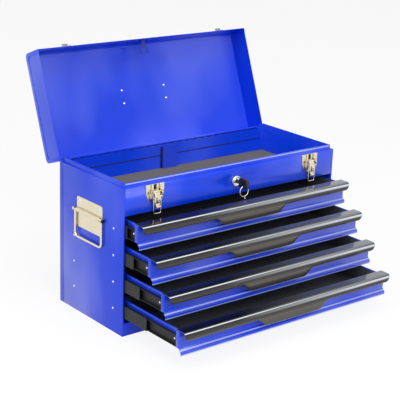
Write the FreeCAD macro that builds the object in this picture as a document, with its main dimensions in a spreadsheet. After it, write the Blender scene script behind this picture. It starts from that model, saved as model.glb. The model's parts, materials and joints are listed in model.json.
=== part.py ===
# Portable tool box with drawers: a steel cabinet with four drawers on three-piece slides, a deep
# top tray, a lid on a continuous hinge, two draw latches, a key lock and wire handles.
# Millimetres and degrees. +X is the viewer's right, -Y the front, +Z up, and the origin is the
# centre of the underside. The lid stands open and the drawers are stepped out, the lowest furthest.
import FreeCAD, Part
import math
import os
import Sketcher

PARTS_FOLDER = "parts"
DRAWERS = 4
WIRE_FLATS = 6
PIN_FLATS = 6
KNUCKLE_FLATS = 6
TUBE_FLATS = 12

# Every named size, with what it measures.
SIZE_TABLE = [
    # cabinet
    ("width", 524, "outside width"),
    ("depth", 221, "outside depth"),
    ("rim_height", 8.5, "ledge to the rolled rim of the tray"),
    ("sheet", 1, "steel sheet"),
    ("overrun", 6, "how far a cut runs past a face"),
    ("post_width", 2.6, "front post beside the drawers"),
    ("post_return", 12, "how far the front post folds back"),
    ("ledge_width", 6, "outside faces to the riser of the tray"),
    ("bottom_rail", 26, "rail under the lowest drawer"),
    ("top_panel", 52.6, "panel above the drawers"),
    ("bottom_rail_flange", 14, "top flange of that rail"),
    ("back_wrap", 17, "how far the back folds onto the sides"),
    ("back_corner", 6, "outer radius of the rear corners"),
    ("corner_relief", 5, "rear of the side cut back for the lid"),
    ("bracket_height", 40, "guide bracket of the lock bar"),
    ("bracket_reach", 17, "how far that bracket stands off the back"),
    ("bracket_width", 34, "width of that bracket"),
    # tray
    ("tray_lift", 1.1, "floor of the tray above the top panel's foot"),
    ("tray_rear_flange", 6.9, "flange behind the tray's rear wall"),
    ("tray_rear_drop", 10.6, "rear wall of the tray below the rim"),
    ("tray_mat", 2, "mat in the tray"),
    ("mat_gap", 1, "mats to the walls round them"),
    ("channel_width", 35, "cover channel of the lock bar"),
    ("channel_reach", 6, "cover channel, front to rear"),
    ("channel_notch", 1.5, "cover channel to the mat round it"),
    # slides
    ("rail_height", 27, "outer slide member"),
    ("rail_gauge", 1, "steel of the slide members"),
    ("slide_gap", 0.3, "one slide member to the next, up and down"),
    ("rail_centre", 22.5, "slides above the drawer's lip"),
    ("web_gap", 1.1, "outer web to middle web"),
    ("flange_gap", 0.6, "inner flange to middle web"),
    ("middle_flange_gap", 1.6, "middle flange to inner web"),
    ("outer_flange_step", 1.8, "outer flange short of the middle one"),
    ("rail_setback", 13, "front of the outer and middle members"),
    ("rail_rear_gap", 10, "outer member to the back panel"),
    ("middle_short", 10, "middle member shorter than the outer one"),
    ("inner_setback", 10, "front of the inner member"),
    ("inner_rear_gap", 2, "inner member short of the drawer's rear"),
    # drawers
    ("drawer_pitch", 52.6, "one drawer to the next"),
    ("lip_gap", 0.8, "lowest lip above the bottom rail"),
    ("slide_space", 10, "cabinet wall to the drawer's side"),
    ("drawer_rear_gap", 19.9, "shut drawer to the lock bar"),
    ("side_step", 2.5, "drawer's sides below the top of its front"),
    ("pan_lift", 7.5, "drawer floor above the lip"),
    ("hem_height", 3, "rolled hem of a drawer's sides"),
    ("hem_width", 1.5, "how far that hem stands out"),
    ("front_gap", 0.6, "drawer front to the post beside it"),
    ("front_top_gap", 6.6, "drawer front to the lip above it"),
    ("front_return", 9, "how far the drawer front folds back"),
    ("kick_reach", 6, "how far the lip kicks out"),
    ("kick_low", 5.5, "straight foot of the lip"),
    ("kick_high", 12, "top of the slope above the lip"),
    ("drawer_mat", 1.5, "mat in a drawer"),
    ("out_1", 39, "top drawer pulled out"),
    ("out_2", 81, "second drawer pulled out"),
    ("out_3", 122, "third drawer pulled out"),
    ("out_4", 168, "lowest drawer pulled out"),
    # pulls
    ("pull_gauge", 1.2, "aluminium of the pulls"),
    ("pull_inset", 0.8, "pull short of the drawer front's ends"),
    ("pull_reach", 17.4, "pull in front of the drawer"),
    ("pull_bead", 2.4, "radius of the bead along the top"),
    ("pull_drop", 18.2, "lip of the pull below its top"),
    ("pull_label_drop", 30.7, "deeper middle of that lip"),
    ("pull_label_width", 132, "deeper middle at its foot"),
    ("pull_label_slope", 24, "run of each slope beside it"),
    ("pull_end_run", 12, "bevel at each end, along the drawer"),
    ("pull_end_rise", 11, "bevel at each end, up"),
    ("pull_hook", 2, "flange of the pull behind the front"),
    ("pull_hook_gap", 0.4, "that flange to the folded ends of the front"),
    # lid
    ("lid_height", 50, "lid from its open edge to its top"),
    ("lid_gap", 0.3, "closed lid above the ledge"),
    ("lid_corner", 10, "outer radius along the lid's top edges"),
    ("lid_setback", 1.5, "front of the lid behind the front face"),
    ("lid_flange", 8, "flange round the lid's ends"),
    ("lid_open_angle", 111, "how far the lid stands open"),
    # hinge
    ("hinge_inset", 20, "continuous hinge short of each side"),
    ("hinge_rise", 1, "hinge pin above the ledge"),
    ("hinge_barrel", 2.2, "radius of the knuckles"),
    ("hinge_pin", 1.2, "radius of the pin"),
    ("hinge_clearance", 0.08, "pin to the bored knuckles"),
    ("hinge_pitch", 9.9, "one knuckle to the next"),
    ("hinge_gap", 0.3, "between two knuckles"),
    ("hinge_leaf", 1, "sheet of the leaves"),
    ("hinge_leaf_gap", 2.6, "pin to the edge of each leaf"),
    ("hinge_leaf_height", 13.4, "each leaf"),
    ("hinge_seat", 0.1, "rear flange of the tray to the leaf"),
    # latches
    ("latch_inset", 68, "centres of the latches to the sides"),
    ("latch_gauge", 1.2, "steel of the latches"),
    ("latch_width", 41, "ears of the base plate"),
    ("latch_ear", 18, "height of those ears"),
    ("latch_foot", 22, "base plate below the ears"),
    ("latch_height", 36.5, "base plate"),
    ("latch_edge", 0.5, "base plate below the ledge"),
    ("cheek_gap", 19.6, "between the two cheeks"),
    ("cheek_reach", 11.5, "cheeks in front of the cabinet"),
    ("cheek_top", 10, "top of the cheeks below the ledge"),
    ("cheek_height", 17, "cheeks"),
    ("lever_axis_drop", 15, "lever pin below the ledge"),
    ("lever_axis_out", 4.2, "lever pin in front of the cabinet"),
    ("lever_pin", 1.2, "radius of the lever pin"),
    ("lever_barrel", 2.5, "radius of the lever's rolled end"),
    ("lever_width", 13, "lever"),
    ("lever_tip_width", 9, "lever at its tip"),
    ("lever_face", 6.2, "lever's face in front of its pin"),
    ("lever_shoulder", 6, "pin down to the straight face"),
    ("lever_straight", 16, "straight face"),
    ("lever_curl", 14.3, "radius of the tip's curl"),
    ("lever_curl_angle", 51.5, "turn of the tip's curl"),
    ("pin_clearance", 0.08, "latch pins in their holes"),
    ("pin_end", 0.2, "latch pins proud of the cheeks"),
    ("bail_axis_drop", 7.35, "bail's ends below the lever pin"),
    ("bail_axis_out", 9, "bail's ends in front of the cabinet"),
    ("bail_wire", 1, "radius of the bail's wire"),
    ("bail_width", 16.4, "centre to centre of the bail's legs"),
    ("bail_length", 32.65, "bail's ends to its bar"),
    ("bail_bend", 1.6, "bend of the bail's ends"),
    ("bail_corner", 3, "bend at the bail's bar"),
    ("catch_width", 20, "plate of the catch on the lid"),
    ("catch_rise", 1.7, "lid's edge to that plate"),
    ("catch_height", 21, "that plate"),
    ("catch_shelf", 6.7, "lid's edge to the hooked shelf"),
    ("catch_shelf_width", 12, "hooked shelf"),
    ("catch_reach", 4.7, "hooked shelf in front of its plate"),
    ("catch_lip", 4.5, "hook of the shelf"),
    ("catch_lip_gauge", 1, "steel at that hook"),
    # lock
    ("lock_drop", 26, "lock below the ledge"),
    ("lock_bezel", 10.5, "radius of the bezel"),
    ("lock_bezel_proud", 3.5, "bezel in front of the cabinet"),
    ("lock_barrel", 8, "radius of the housing"),
    ("lock_barrel_length", 14.5, "housing behind the front"),
    ("lock_hole_gap", 0.2, "housing to its hole"),
    ("plug_radius", 5.5, "lock plug"),
    ("plug_clearance", 0.1, "plug to its bore"),
    ("plug_proud", 5, "plug in front of the cabinet"),
    ("plug_length", 22.7, "plug behind the front"),
    ("cam_gauge", 1.6, "lock cam"),
    ("cam_width", 6, "lock cam"),
    ("cam_reach", 44, "lock axis to the cam's end"),
    ("key_gauge", 2, "key blade"),
    ("key_blade", 8, "height and length of the blade that shows"),
    ("key_head_length", 24, "key head, front to rear"),
    ("key_head_height", 20, "key head"),
    ("key_head_width", 6, "key head"),
    ("key_corner", 5, "corner radius of the key head"),
    ("key_hole_in", 10, "ring hole from the head's outer end"),
    ("key_hole_drop", 3.5, "ring hole below the lock axis"),
    ("key_hole", 2, "radius of the ring hole"),
    ("ring_radius", 10.5, "key ring"),
    ("ring_wire", 0.8, "radius of the ring's wire"),
    ("ring_hang", 14.5, "ring's centre below the lock axis"),
    ("hasp_offset", -3, "hasp and lock bar beside the centre"),
    ("hasp_gauge", 1.2, "hasp"),
    ("hasp_stem", 8, "hasp's stem and foot"),
    ("hasp_foot", 12, "hasp's foot on the lid"),
    ("hasp_rise", 13.7, "lid's edge to the hasp"),
    ("hasp_loop_width", 19, "hasp's loop"),
    ("hasp_loop_depth", 15, "hasp's loop, front to rear"),
    ("hasp_window_width", 13, "window of the loop"),
    ("hasp_window_depth", 9, "window of the loop, front to rear"),
    ("hasp_corner", 4, "corner radius of the loop"),
    # lock bar
    ("bar_width", 9, "lock bar"),
    ("bar_gauge", 3, "lock bar, front to rear"),
    ("bar_back_gap", 1.1, "lock bar to the tray's rear wall"),
    ("bar_slot_gap", 0.4, "lock bar to its slots"),
    ("bar_above_wall", 1, "lock bar above the tray's rear wall"),
    ("bar_foot", 2, "lock bar below its bracket"),
    ("bar_finger_lift", 5.1, "fingers above the drawer's side"),
    ("bar_finger_gauge", 2, "fingers"),
    ("bar_finger_tip", 2.5, "tip that drops inside a drawer"),
    ("bar_tip_gap", 0.5, "tip to the closed drawer's rear wall"),
    ("bar_tip_clear", 1.5, "raised tip above the drawer's side"),
    # side handles
    ("handle_plate_width", 86.4, "plate, front to rear"),
    ("handle_plate_drop", 52, "ledge down to the plate"),
    ("handle_plate_height", 60.5, "plate"),
    ("handle_plate_gauge", 1.2, "plate"),
    ("handle_plate_corner", 5, "corner radius of the plate"),
    ("handle_axis_drop", 78, "ledge down to the handle's pin"),
    ("handle_axis_out", 4.2, "handle's pin outside the cabinet"),
    ("handle_barrel", 3.9, "radius of the plate's rolled tube"),
    ("handle_tube_gap", 0.7, "rolled tube to the bends of the wire"),
    ("handle_wire", 2.4, "radius of the handle's wire"),
    ("handle_clearance", 0.1, "wire in the tube"),
    ("handle_width", 88.6, "centre to centre of the legs"),
    ("handle_drop", 54, "pin to the grip"),
    ("handle_bend_top", 4, "bend beside the tube"),
    ("handle_bend_foot", 9, "bend beside the grip"),
    # top handle
    ("saddle_spread", 108, "centre to centre of the saddles"),
    ("saddle_width", 14, "saddle along the lid"),
    ("saddle_foot", 40, "saddle, front to rear"),
    ("saddle_gauge", 1.2, "saddle's feet"),
    ("saddle_barrel", 4.3, "radius of the saddle's arch"),
    ("saddle_rise", 3.5, "handle's pin above the lid"),
    ("top_wire", 3, "radius of the top handle's wire"),
    ("top_clearance", 0.1, "wire in the saddles"),
    ("top_pin_in", 6, "end of the wire inside the saddle's centre"),
    ("top_leg_gap", 1, "saddles to the bends of the wire"),
    ("top_reach", 34, "pin to the grip"),
    ("top_bend", 7, "bends of the top handle"),
]

doc = FreeCAD.newDocument("ToolBox")
sheet_table = doc.addObject("Spreadsheet::Sheet", "Sizes")


class Size:
    """A number and the spreadsheet expression that gives it."""

    def __init__(self, number, text):
        self.number = number
        self.text = text

    def join(self, other, sign, number):
        return Size(number, "(%s %s %s)" % (self.text, sign, other.text))

    def __add__(self, other):
        other = as_size(other)
        return self.join(other, "+", self.number + other.number)

    def __sub__(self, other):
        other = as_size(other)
        return self.join(other, "-", self.number - other.number)

    def __mul__(self, other):
        other = as_size(other)
        return self.join(other, "*", self.number * other.number)

    def __truediv__(self, other):
        other = as_size(other)
        return self.join(other, "/", self.number / other.number)

    def __radd__(self, other):
        return as_size(other) + self

    def __rsub__(self, other):
        return as_size(other) - self

    def __rmul__(self, other):
        return as_size(other) * self

    def __neg__(self):
        return Size(-self.number, "(0 - %s)" % self.text)


def as_size(value):
    return value if isinstance(value, Size) else Size(value, repr(value))


def cosine(angle):
    return Size(math.cos(math.radians(angle.number)), "cos(%s)" % angle.text)


def sine(angle):
    return Size(math.sin(math.radians(angle.number)), "sin(%s)" % angle.text)


class Sizes:
    """The named sizes, one attribute for each row of the spreadsheet."""


d = Sizes()
for row, (alias, value, meaning) in enumerate(SIZE_TABLE, start=1):
    sheet_table.set("A%d" % row, meaning)
    sheet_table.set("B%d" % row, str(value))
    sheet_table.setAlias("B%d" % row, alias)
    setattr(d, alias, Size(value, "Sizes." + alias))
doc.recompute()

# Places worked out from the sizes.
side = d.width / 2
front = -d.depth / 2
back = d.depth / 2
wall_in = side - d.sheet
front_lower = d.bottom_rail + DRAWERS * d.drawer_pitch
ledge = front_lower + d.top_panel
rim = ledge + d.rim_height
leaf_in = back - d.sheet - d.hinge_leaf
leaf_front = leaf_in - d.hinge_seat
tray_x = side - d.ledge_width - d.sheet
tray_front = front + d.ledge_width + d.sheet
tray_back = leaf_front - d.tray_rear_flange
tray_floor = front_lower + d.tray_lift
tray_wall_top = rim - d.tray_rear_drop
axis_y = leaf_in + d.hinge_leaf / 2
axis_z = ledge + d.hinge_rise
back_top = axis_z - d.hinge_leaf_gap
post_in = side - d.post_width
lid_front = front + d.lid_setback
lid_edge = ledge + d.lid_gap
lid_top = lid_edge + d.lid_height
lock_z = ledge - d.lock_drop
bar_back = tray_back - d.bar_back_gap
bar_front = bar_back - d.bar_gauge
front_height = d.drawer_pitch - d.front_top_gap
drawer_x = wall_in - d.slide_space
drawer_top = front_height - d.side_step
drawer_front_x = post_in - d.front_gap
pan_back = bar_front - d.drawer_rear_gap
rail_front = front + d.rail_setback
rail_back = back - d.sheet - d.rail_rear_gap
pull_x = drawer_front_x - d.pull_inset
inner_web = drawer_x + d.rail_gauge
outer_web = wall_in - d.rail_gauge
middle_web = outer_web - d.web_gap
middle_flange = inner_web + d.middle_flange_gap
lever_axis_y = front - d.lever_axis_out
lever_axis_z = ledge - d.lever_axis_drop
latch_x = side - d.latch_inset
handle_axis_z = ledge - d.handle_axis_drop
bail_axis_y = front - d.bail_axis_out
bail_axis_z = lever_axis_z - d.bail_axis_drop
cheek_out = d.cheek_gap / 2 + d.latch_gauge
saddle_axis_z = lid_top + d.saddle_rise
bracket_top = d.bracket_height + d.sheet
outs = [d.out_1, d.out_2, d.out_3, d.out_4]


def lip(drawer):
    """Height of a drawer's lower lip; drawer 1 is the top one."""
    return d.bottom_rail + d.lip_gap + (DRAWERS - drawer) * d.drawer_pitch


# Placements, as expressions of the same sizes.
OPEN_LID = "placement(vector(0; 0; 0); rotation(vector(1; 0; 0); 0 - %s); vector(0; %s; %s))" % (
    d.lid_open_angle.text, axis_y.text, axis_z.text)


def moved(dy, dz):
    return "placement(vector(0; %s; %s); rotation(vector(1; 0; 0); 0))" % (dy.text, dz.text)


PLANES = {"XY": ("XY_Plane", 1), "XZ": ("XZ_Plane", -1), "YZ": ("YZ_Plane", 1)}


class Disc:
    """A circle in a sketch."""

    def __init__(self, u, v, radius):
        self.u = as_size(u)
        self.v = as_size(v)
        self.radius = radius


class Bend:
    """A corner from which the outline runs to the next one along an arc."""

    def __init__(self, u, v, radius, left):
        self.u = as_size(u)
        self.v = as_size(v)
        self.radius = radius
        self.left = left


def flats(u, v, radius, count, outside=False):
    """Regular outline of a thin round piece: corners on its circle, or flats outside it."""
    reach = radius / cosine(as_size(180 / count)) if outside else radius
    turns = [as_size(360 * (step + 0.5) / count) for step in range(count)]
    return [(u + reach * cosine(turn), v + reach * sine(turn)) for turn in turns]


def rectangle(u_low, u_high, v_low, v_high, radius=None):
    corners = [(u_low, v_low), (u_high, v_low), (u_high, v_high), (u_low, v_high)]
    return [(u, v, radius) if radius else (u, v) for u, v in corners]


def new_body(label, placement=None):
    body = doc.addObject("PartDesign::Body", label)
    body.Label = label
    if placement:
        body.setExpression("Placement", placement)
    return body


def new_sketch(body, plane, at):
    role, sense = PLANES[plane]
    sketch = body.newObject("Sketcher::SketchObject", "Sketch")
    support = [item for item in body.Origin.OriginFeatures if item.Role == role][0]
    sketch.AttachmentSupport = [(support, "")]
    sketch.MapMode = "FlatFace"
    offset = sense * as_size(at)
    sketch.setExpression("AttachmentOffset.Base.z", offset.text)
    return sketch


def pin_point(sketch, edge, end, u, v):
    """Hold a point of a sketch at two named places."""
    for kind, value in (("DistanceX", u), ("DistanceY", v)):
        row = sketch.addConstraint(Sketcher.Constraint(kind, -1, 1, edge, end, value.number))
        sketch.setExpression("Constraints[%d]" % row, value.text)


def hold_radius(sketch, edge, radius):
    row = sketch.addConstraint(Sketcher.Constraint("Radius", edge, radius.number))
    sketch.setExpression("Constraints[%d]" % row, radius.text)


def direction(start, end):
    du = end[0].number - start[0].number
    dv = end[1].number - start[1].number
    length = math.hypot(du, dv)
    return du / length, dv / length


def arc_between(start, end, radius, left):
    """Arc of a radius from start to end, curving left or right of its chord."""
    ax, ay = start[0].number, start[1].number
    bx, by = end[0].number, end[1].number
    half = math.hypot(bx - ax, by - ay) / 2
    reach = math.sqrt(radius.number ** 2 - half ** 2)
    nu, nv = -(by - ay) / (2 * half), (bx - ax) / (2 * half)
    sense = 1 if left else -1
    cu = (ax + bx) / 2 + sense * nu * reach
    cv = (ay + by) / 2 + sense * nv * reach
    circle = Part.Circle(FreeCAD.Vector(cu, cv, 0), FreeCAD.Vector(0, 0, 1), radius.number)
    first = math.atan2(ay - cv, ax - cu)
    last = math.atan2(by - cv, bx - cu)
    if left:
        return Part.ArcOfCircle(circle, first, last), 1, 2
    return Part.ArcOfCircle(circle, last, first), 2, 1


def trace(sketch, corners, closed=True):
    """Draw an outline through named corners; a third value rounds a square corner."""
    points = []
    for corner in corners:
        if isinstance(corner, Bend):
            points.append((corner.u, corner.v, None, corner))
        else:
            radius = corner[2] if len(corner) > 2 else None
            points.append((as_size(corner[0]), as_size(corner[1]), radius, None))
    count = len(points)
    # each corner gives one point, or two where it is rounded
    stops = []
    for index, (u, v, radius, bend) in enumerate(points):
        if not radius:
            stops.append((u, v, bend, None))
            continue
        before = points[index - 1]
        after = points[(index + 1) % count]
        in_u, in_v = direction(before, (u, v))
        out_u, out_v = direction((u, v), after)
        turn_left = in_u * out_v - in_v * out_u > 0
        stops.append((u - round(in_u) * radius, v - round(in_v) * radius, None, (radius, turn_left)))
        stops.append((u + round(out_u) * radius, v + round(out_v) * radius, None, None))
    total = len(stops)
    pieces = []
    for index in range(total if closed else total - 1):
        u, v, bend, rounding = stops[index]
        following = stops[(index + 1) % total]
        if rounding:
            piece, first, last = arc_between((u, v), following, rounding[0], rounding[1])
            radius = rounding[0]
        elif bend:
            piece, first, last = arc_between((u, v), following, bend.radius, bend.left)
            radius = bend.radius
        else:
            start = FreeCAD.Vector(u.number, v.number, 0)
            end = FreeCAD.Vector(following[0].number, following[1].number, 0)
            piece, first, last, radius = Part.LineSegment(start, end), 1, 2, None
        edge = sketch.addGeometry(piece, False)
        pieces.append((edge, first, last, radius, u, v))
    for index, (edge, first, last, radius, u, v) in enumerate(pieces):
        pin_point(sketch, edge, first, u, v)
        if radius:
            hold_radius(sketch, edge, radius)
        if index + 1 < len(pieces) or closed:
            following = pieces[(index + 1) % len(pieces)]
            sketch.addConstraint(Sketcher.Constraint("Coincident", edge, last, following[0], following[1]))
        else:
            pin_point(sketch, edge, last, stops[-1][0], stops[-1][1])


def draw(sketch, outlines):
    for outline in outlines:
        if isinstance(outline, Disc):
            centre = FreeCAD.Vector(outline.u.number, outline.v.number, 0)
            circle = Part.Circle(centre, FreeCAD.Vector(0, 0, 1), outline.radius.number)
            edge = sketch.addGeometry(circle, False)
            pin_point(sketch, edge, 3, outline.u, outline.v)
            hold_radius(sketch, edge, outline.radius)
        else:
            trace(sketch, outline)


def in_order(one, other):
    one, other = as_size(one), as_size(other)
    return (one, other) if one.number <= other.number else (other, one)


def pad(body, plane, one, other, *outlines):
    """Raise outlines between two places along the axis square to the plane."""
    low, high = in_order(one, other)
    sketch = new_sketch(body, plane, high if plane == "XZ" else low)
    draw(sketch, outlines)
    feature = body.newObject("PartDesign::Pad", "Pad")
    feature.Profile = sketch
    feature.setExpression("Length", (high - low).text)
    return feature


def pocket(body, plane, one, other, *outlines):
    """Cut outlines away between two places along the axis square to the plane."""
    low, high = in_order(one, other)
    sketch = new_sketch(body, plane, low if plane == "XZ" else high)
    draw(sketch, outlines)
    feature = body.newObject("PartDesign::Pocket", "Pocket")
    feature.Profile = sketch
    feature.setExpression("Length", (high - low).text)
    return feature


def revolve(body, plane, at, outline, one, other, angle):
    """Turn an outline about the line from one place of its plane to another."""
    profile = new_sketch(body, plane, at)
    draw(profile, [outline])
    axis = new_sketch(body, plane, at)
    trace(axis, [one, other], False)
    feature = body.newObject("PartDesign::Revolution", "Turn")
    feature.Profile = profile
    feature.ReferenceAxis = (axis, ["Edge1"])
    feature.Angle = angle
    return feature


def wire(body, plane, at, route, closed, ring_plane, ring_at, ring):
    """Sweep a wire along a route; the ring is its section at the start."""
    path = new_sketch(body, plane, at)
    trace(path, route, closed)
    section = new_sketch(body, ring_plane, ring_at)
    draw(section, [ring])
    sweep = body.newObject("PartDesign::AdditivePipe", "Sweep")
    sweep.Profile = section
    sweep.Spine = (path, [])
    return sweep


# Cabinet.
def side_panel(label, sense):
    """Side wall with its folded ledge, riser and front post."""
    body = new_body(label)
    rear = back - d.back_wrap
    tab = back - d.corner_relief
    wall = [(front, 0), (rear, 0), (rear, back_top), (tab, back_top), (tab, ledge),
            (front, ledge)]
    pad(body, "YZ", sense * wall_in, sense * side, wall)
    riser = tray_x + d.sheet
    under = ledge - d.sheet
    pad(body, "XZ", front + d.sheet, tab,
        rectangle(sense * riser, sense * side, under, ledge))
    pad(body, "XZ", front + d.ledge_width - d.sheet, tab,
        rectangle(sense * riser, sense * (riser + d.sheet), under, rim - d.sheet))
    pad(body, "XY", 0, ledge,
        rectangle(sense * post_in, sense * side, front, front + d.sheet))
    pad(body, "XY", 0, under,
        rectangle(sense * post_in, sense * (post_in + d.sheet), front, front + d.post_return))
    return body


def back_panel():
    """Back folded round both rear corners, with the lower guide of the lock bar."""
    body = new_body("back_panel")
    rear = back - d.back_wrap
    inner_corner = d.back_corner - d.sheet
    outline = [(-side, rear), (-wall_in, rear), (-wall_in, back - d.sheet, inner_corner),
               (wall_in, back - d.sheet, inner_corner), (wall_in, rear), (side, rear),
               (side, back, d.back_corner), (-side, back, d.back_corner)]
    pad(body, "XY", 0, back_top, outline)
    half = d.bracket_width / 2
    pad(body, "XY", d.bracket_height, bracket_top,
        rectangle(d.hasp_offset - half, d.hasp_offset + half, back - d.sheet - d.bracket_reach, back))
    gap = d.bar_slot_gap
    pocket(body, "XY", d.bracket_height - d.overrun, bracket_top + d.overrun,
           rectangle(d.hasp_offset - d.bar_width / 2 - gap, d.hasp_offset + d.bar_width / 2 + gap,
                     bar_front - gap, bar_back + gap))
    return body


def base_pan():
    """Floor of the cabinet, folded up and back into the rail under the lowest drawer."""
    body = new_body("base_pan")
    top = d.bottom_rail
    floor_front = front + d.post_return
    joint = floor_front + d.sheet
    section = [(front, 0), (joint, 0), (joint, d.sheet), (front + d.sheet, d.sheet),
               (front + d.sheet, top - d.sheet), (front + d.bottom_rail_flange, top - d.sheet),
               (front + d.bottom_rail_flange, top), (front, top)]
    pad(body, "YZ", -post_in, post_in, section)
    corner = d.back_corner - d.sheet
    floor = [(-wall_in, floor_front), (wall_in, floor_front),
             (wall_in, back - d.sheet, corner), (-wall_in, back - d.sheet, corner)]
    pad(body, "XY", 0, d.sheet, floor)
    return body


def front_panel():
    """Panel above the drawers with its ledge, riser and lock hole."""
    body = new_body("front_panel")
    inner = front + d.ledge_width
    under = ledge - d.sheet
    section = [(front, front_lower), (inner, front_lower), (inner, front_lower + d.sheet),
               (front + d.sheet, front_lower + d.sheet), (front + d.sheet, under), (inner, under),
               (inner, rim - d.sheet), (inner - d.sheet, rim - d.sheet),
               (inner - d.sheet, ledge), (front, ledge)]
    between = tray_x + d.sheet
    pad(body, "YZ", -between, between, section)
    pad(body, "XZ", front, front + d.sheet,
        rectangle(-post_in, post_in, front_lower, ledge))
    pocket(body, "XZ", front - d.overrun, front + d.sheet + d.overrun,
           Disc(0, lock_z, d.lock_barrel + d.lock_hole_gap))
    return body


def tray():
    """Deep top tray whose rolled rim caps the risers of the cabinet."""
    body = new_body("tray")
    outer_x = tray_x + d.sheet
    outer_front = tray_front - d.sheet
    outer_back = tray_back + d.sheet
    pad(body, "XY", tray_floor - d.sheet, rim, rectangle(-outer_x, outer_x, outer_front, outer_back))
    cap_x = outer_x + d.sheet
    pad(body, "XY", rim - d.sheet, rim, rectangle(-cap_x, cap_x, outer_front - d.sheet, outer_back))
    pad(body, "XY", tray_wall_top - d.sheet, tray_wall_top,
        rectangle(-outer_x, outer_x, tray_back, leaf_front))
    pocket(body, "XY", tray_floor, rim + d.overrun, rectangle(-tray_x, tray_x, tray_front, tray_back))
    ear = side - d.hinge_inset + d.sheet
    pocket(body, "XZ", tray_back - d.sheet, outer_back + d.overrun,
           rectangle(-ear, ear, tray_wall_top, rim + d.overrun))
    gap = d.bar_slot_gap
    pocket(body, "XY", tray_floor - d.sheet - d.overrun, tray_floor + d.sheet,
           rectangle(d.hasp_offset - d.bar_width / 2 - gap, d.hasp_offset + d.bar_width / 2 + gap,
                     bar_front - gap, bar_back + gap))
    pocket(body, "XZ", outer_front - d.overrun, tray_front + d.overrun,
           Disc(0, lock_z, d.lock_barrel + d.lock_hole_gap))
    return body


def tray_mat():
    """Mat on the tray's floor, notched round the lock bar's cover."""
    body = new_body("tray_mat")
    half = d.channel_width / 2 + d.channel_notch
    notch = tray_back - d.channel_reach - d.channel_notch
    edge_x = tray_x - d.mat_gap
    edge_back = tray_back - d.mat_gap
    edge_front = tray_front + d.mat_gap
    outline = [(-edge_x, edge_front), (edge_x, edge_front), (edge_x, edge_back),
               (d.hasp_offset + half, edge_back), (d.hasp_offset + half, notch),
               (d.hasp_offset - half, notch), (d.hasp_offset - half, edge_back), (-edge_x, edge_back)]
    pad(body, "XY", tray_floor, tray_floor + d.tray_mat, outline)
    return body


def lock_bar_channel():
    """Folded cover over the lock bar, on the tray's rear wall."""
    body = new_body("lock_bar_channel")
    low_x = d.hasp_offset - d.channel_width / 2
    high_x = d.hasp_offset + d.channel_width / 2
    face = tray_back - d.channel_reach
    outline = [(low_x, face), (high_x, face), (high_x, tray_back), (high_x - d.sheet, tray_back),
               (high_x - d.sheet, face + d.sheet), (low_x + d.sheet, face + d.sheet),
               (low_x + d.sheet, tray_back), (low_x, tray_back)]
    pad(body, "XY", tray_floor, tray_wall_top, outline)
    return body


def channel_section(sense, web, depth_to, middle, half_height):
    """C section of a slide member: its web stands on one line and its flanges reach another."""
    back_of_web = web
    gauge = d.rail_gauge
    outwards = 1 if depth_to.number > web.number else -1
    face = web + outwards * gauge
    return [(sense * back_of_web, middle - half_height), (sense * depth_to, middle - half_height),
            (sense * depth_to, middle - half_height + gauge), (sense * face, middle - half_height + gauge),
            (sense * face, middle + half_height - gauge), (sense * depth_to, middle + half_height - gauge),
            (sense * depth_to, middle + half_height), (sense * back_of_web, middle + half_height)]


def slide_rails(label, sense):
    """The four outer slide members on one side wall."""
    body = new_body(label)
    sections = [channel_section(sense, wall_in, middle_flange + d.outer_flange_step,
                                lip(drawer) + d.rail_centre, d.rail_height / 2)
                for drawer in range(1, DRAWERS + 1)]
    pad(body, "XZ", rail_front, rail_back, *sections)
    return body


def handle_plate(label, sense):
    """Plate of a side handle, with the tube that its edge is rolled into."""
    body = new_body(label)
    half = d.handle_plate_width / 2
    top = ledge - d.handle_plate_drop
    pad(body, "YZ", sense * side, sense * (side + d.handle_plate_gauge),
        rectangle(-half, half, top - d.handle_plate_height, top, d.handle_plate_corner))
    tube_x = sense * (side + d.handle_axis_out)
    reach = d.handle_width / 2 - d.handle_bend_top - d.handle_tube_gap
    pad(body, "XZ", -reach, reach, flats(tube_x, handle_axis_z, d.handle_barrel, TUBE_FLATS))
    pocket(body, "XZ", -reach - d.overrun, reach + d.overrun,
           Disc(tube_x, handle_axis_z, d.handle_wire + d.handle_clearance))
    return body


def latch_bases():
    """Base plates of both latches, with cheeks that hold the lever and the bail."""
    body = new_body("latch_bases")
    plate_front = front - d.latch_gauge
    top = ledge - d.latch_edge
    for sense in (-1, 1):
        centre = sense * latch_x
        wide = d.latch_width / 2
        narrow = d.latch_foot / 2
        outline = [(centre - wide, top - d.latch_ear), (centre - narrow, top - d.latch_ear),
                   (centre - narrow, top - d.latch_height), (centre + narrow, top - d.latch_height),
                   (centre + narrow, top - d.latch_ear), (centre + wide, top - d.latch_ear),
                   (centre + wide, top), (centre - wide, top)]
        pad(body, "XZ", plate_front, front, outline)
        high = ledge - d.cheek_top
        cheek = rectangle(front - d.cheek_reach, plate_front, high - d.cheek_height, high)
        for end in (-1, 1):
            pad(body, "YZ", centre + end * d.cheek_gap / 2, centre + end * cheek_out, cheek)
        pocket(body, "YZ", centre - cheek_out - d.latch_gauge, centre + cheek_out + d.latch_gauge,
               flats(lever_axis_y, lever_axis_z, d.lever_pin + d.pin_clearance, PIN_FLATS, True),
               Disc(bail_axis_y, bail_axis_z, d.bail_wire + d.pin_clearance))
    return body


def lock_housing():
    """Bezel and bored housing of the lock."""
    body = new_body("lock_housing")
    end = front + d.lock_barrel_length
    pad(body, "XZ", front - d.lock_bezel_proud, front, Disc(0, lock_z, d.lock_bezel))
    pad(body, "XZ", front - d.lock_bezel_proud, end, flats(0, lock_z, d.lock_barrel, TUBE_FLATS))
    pocket(body, "XZ", front - d.lock_bezel_proud - d.overrun, end + d.overrun,
           flats(0, lock_z, d.plug_radius + d.plug_clearance, TUBE_FLATS, True))
    return body


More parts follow.
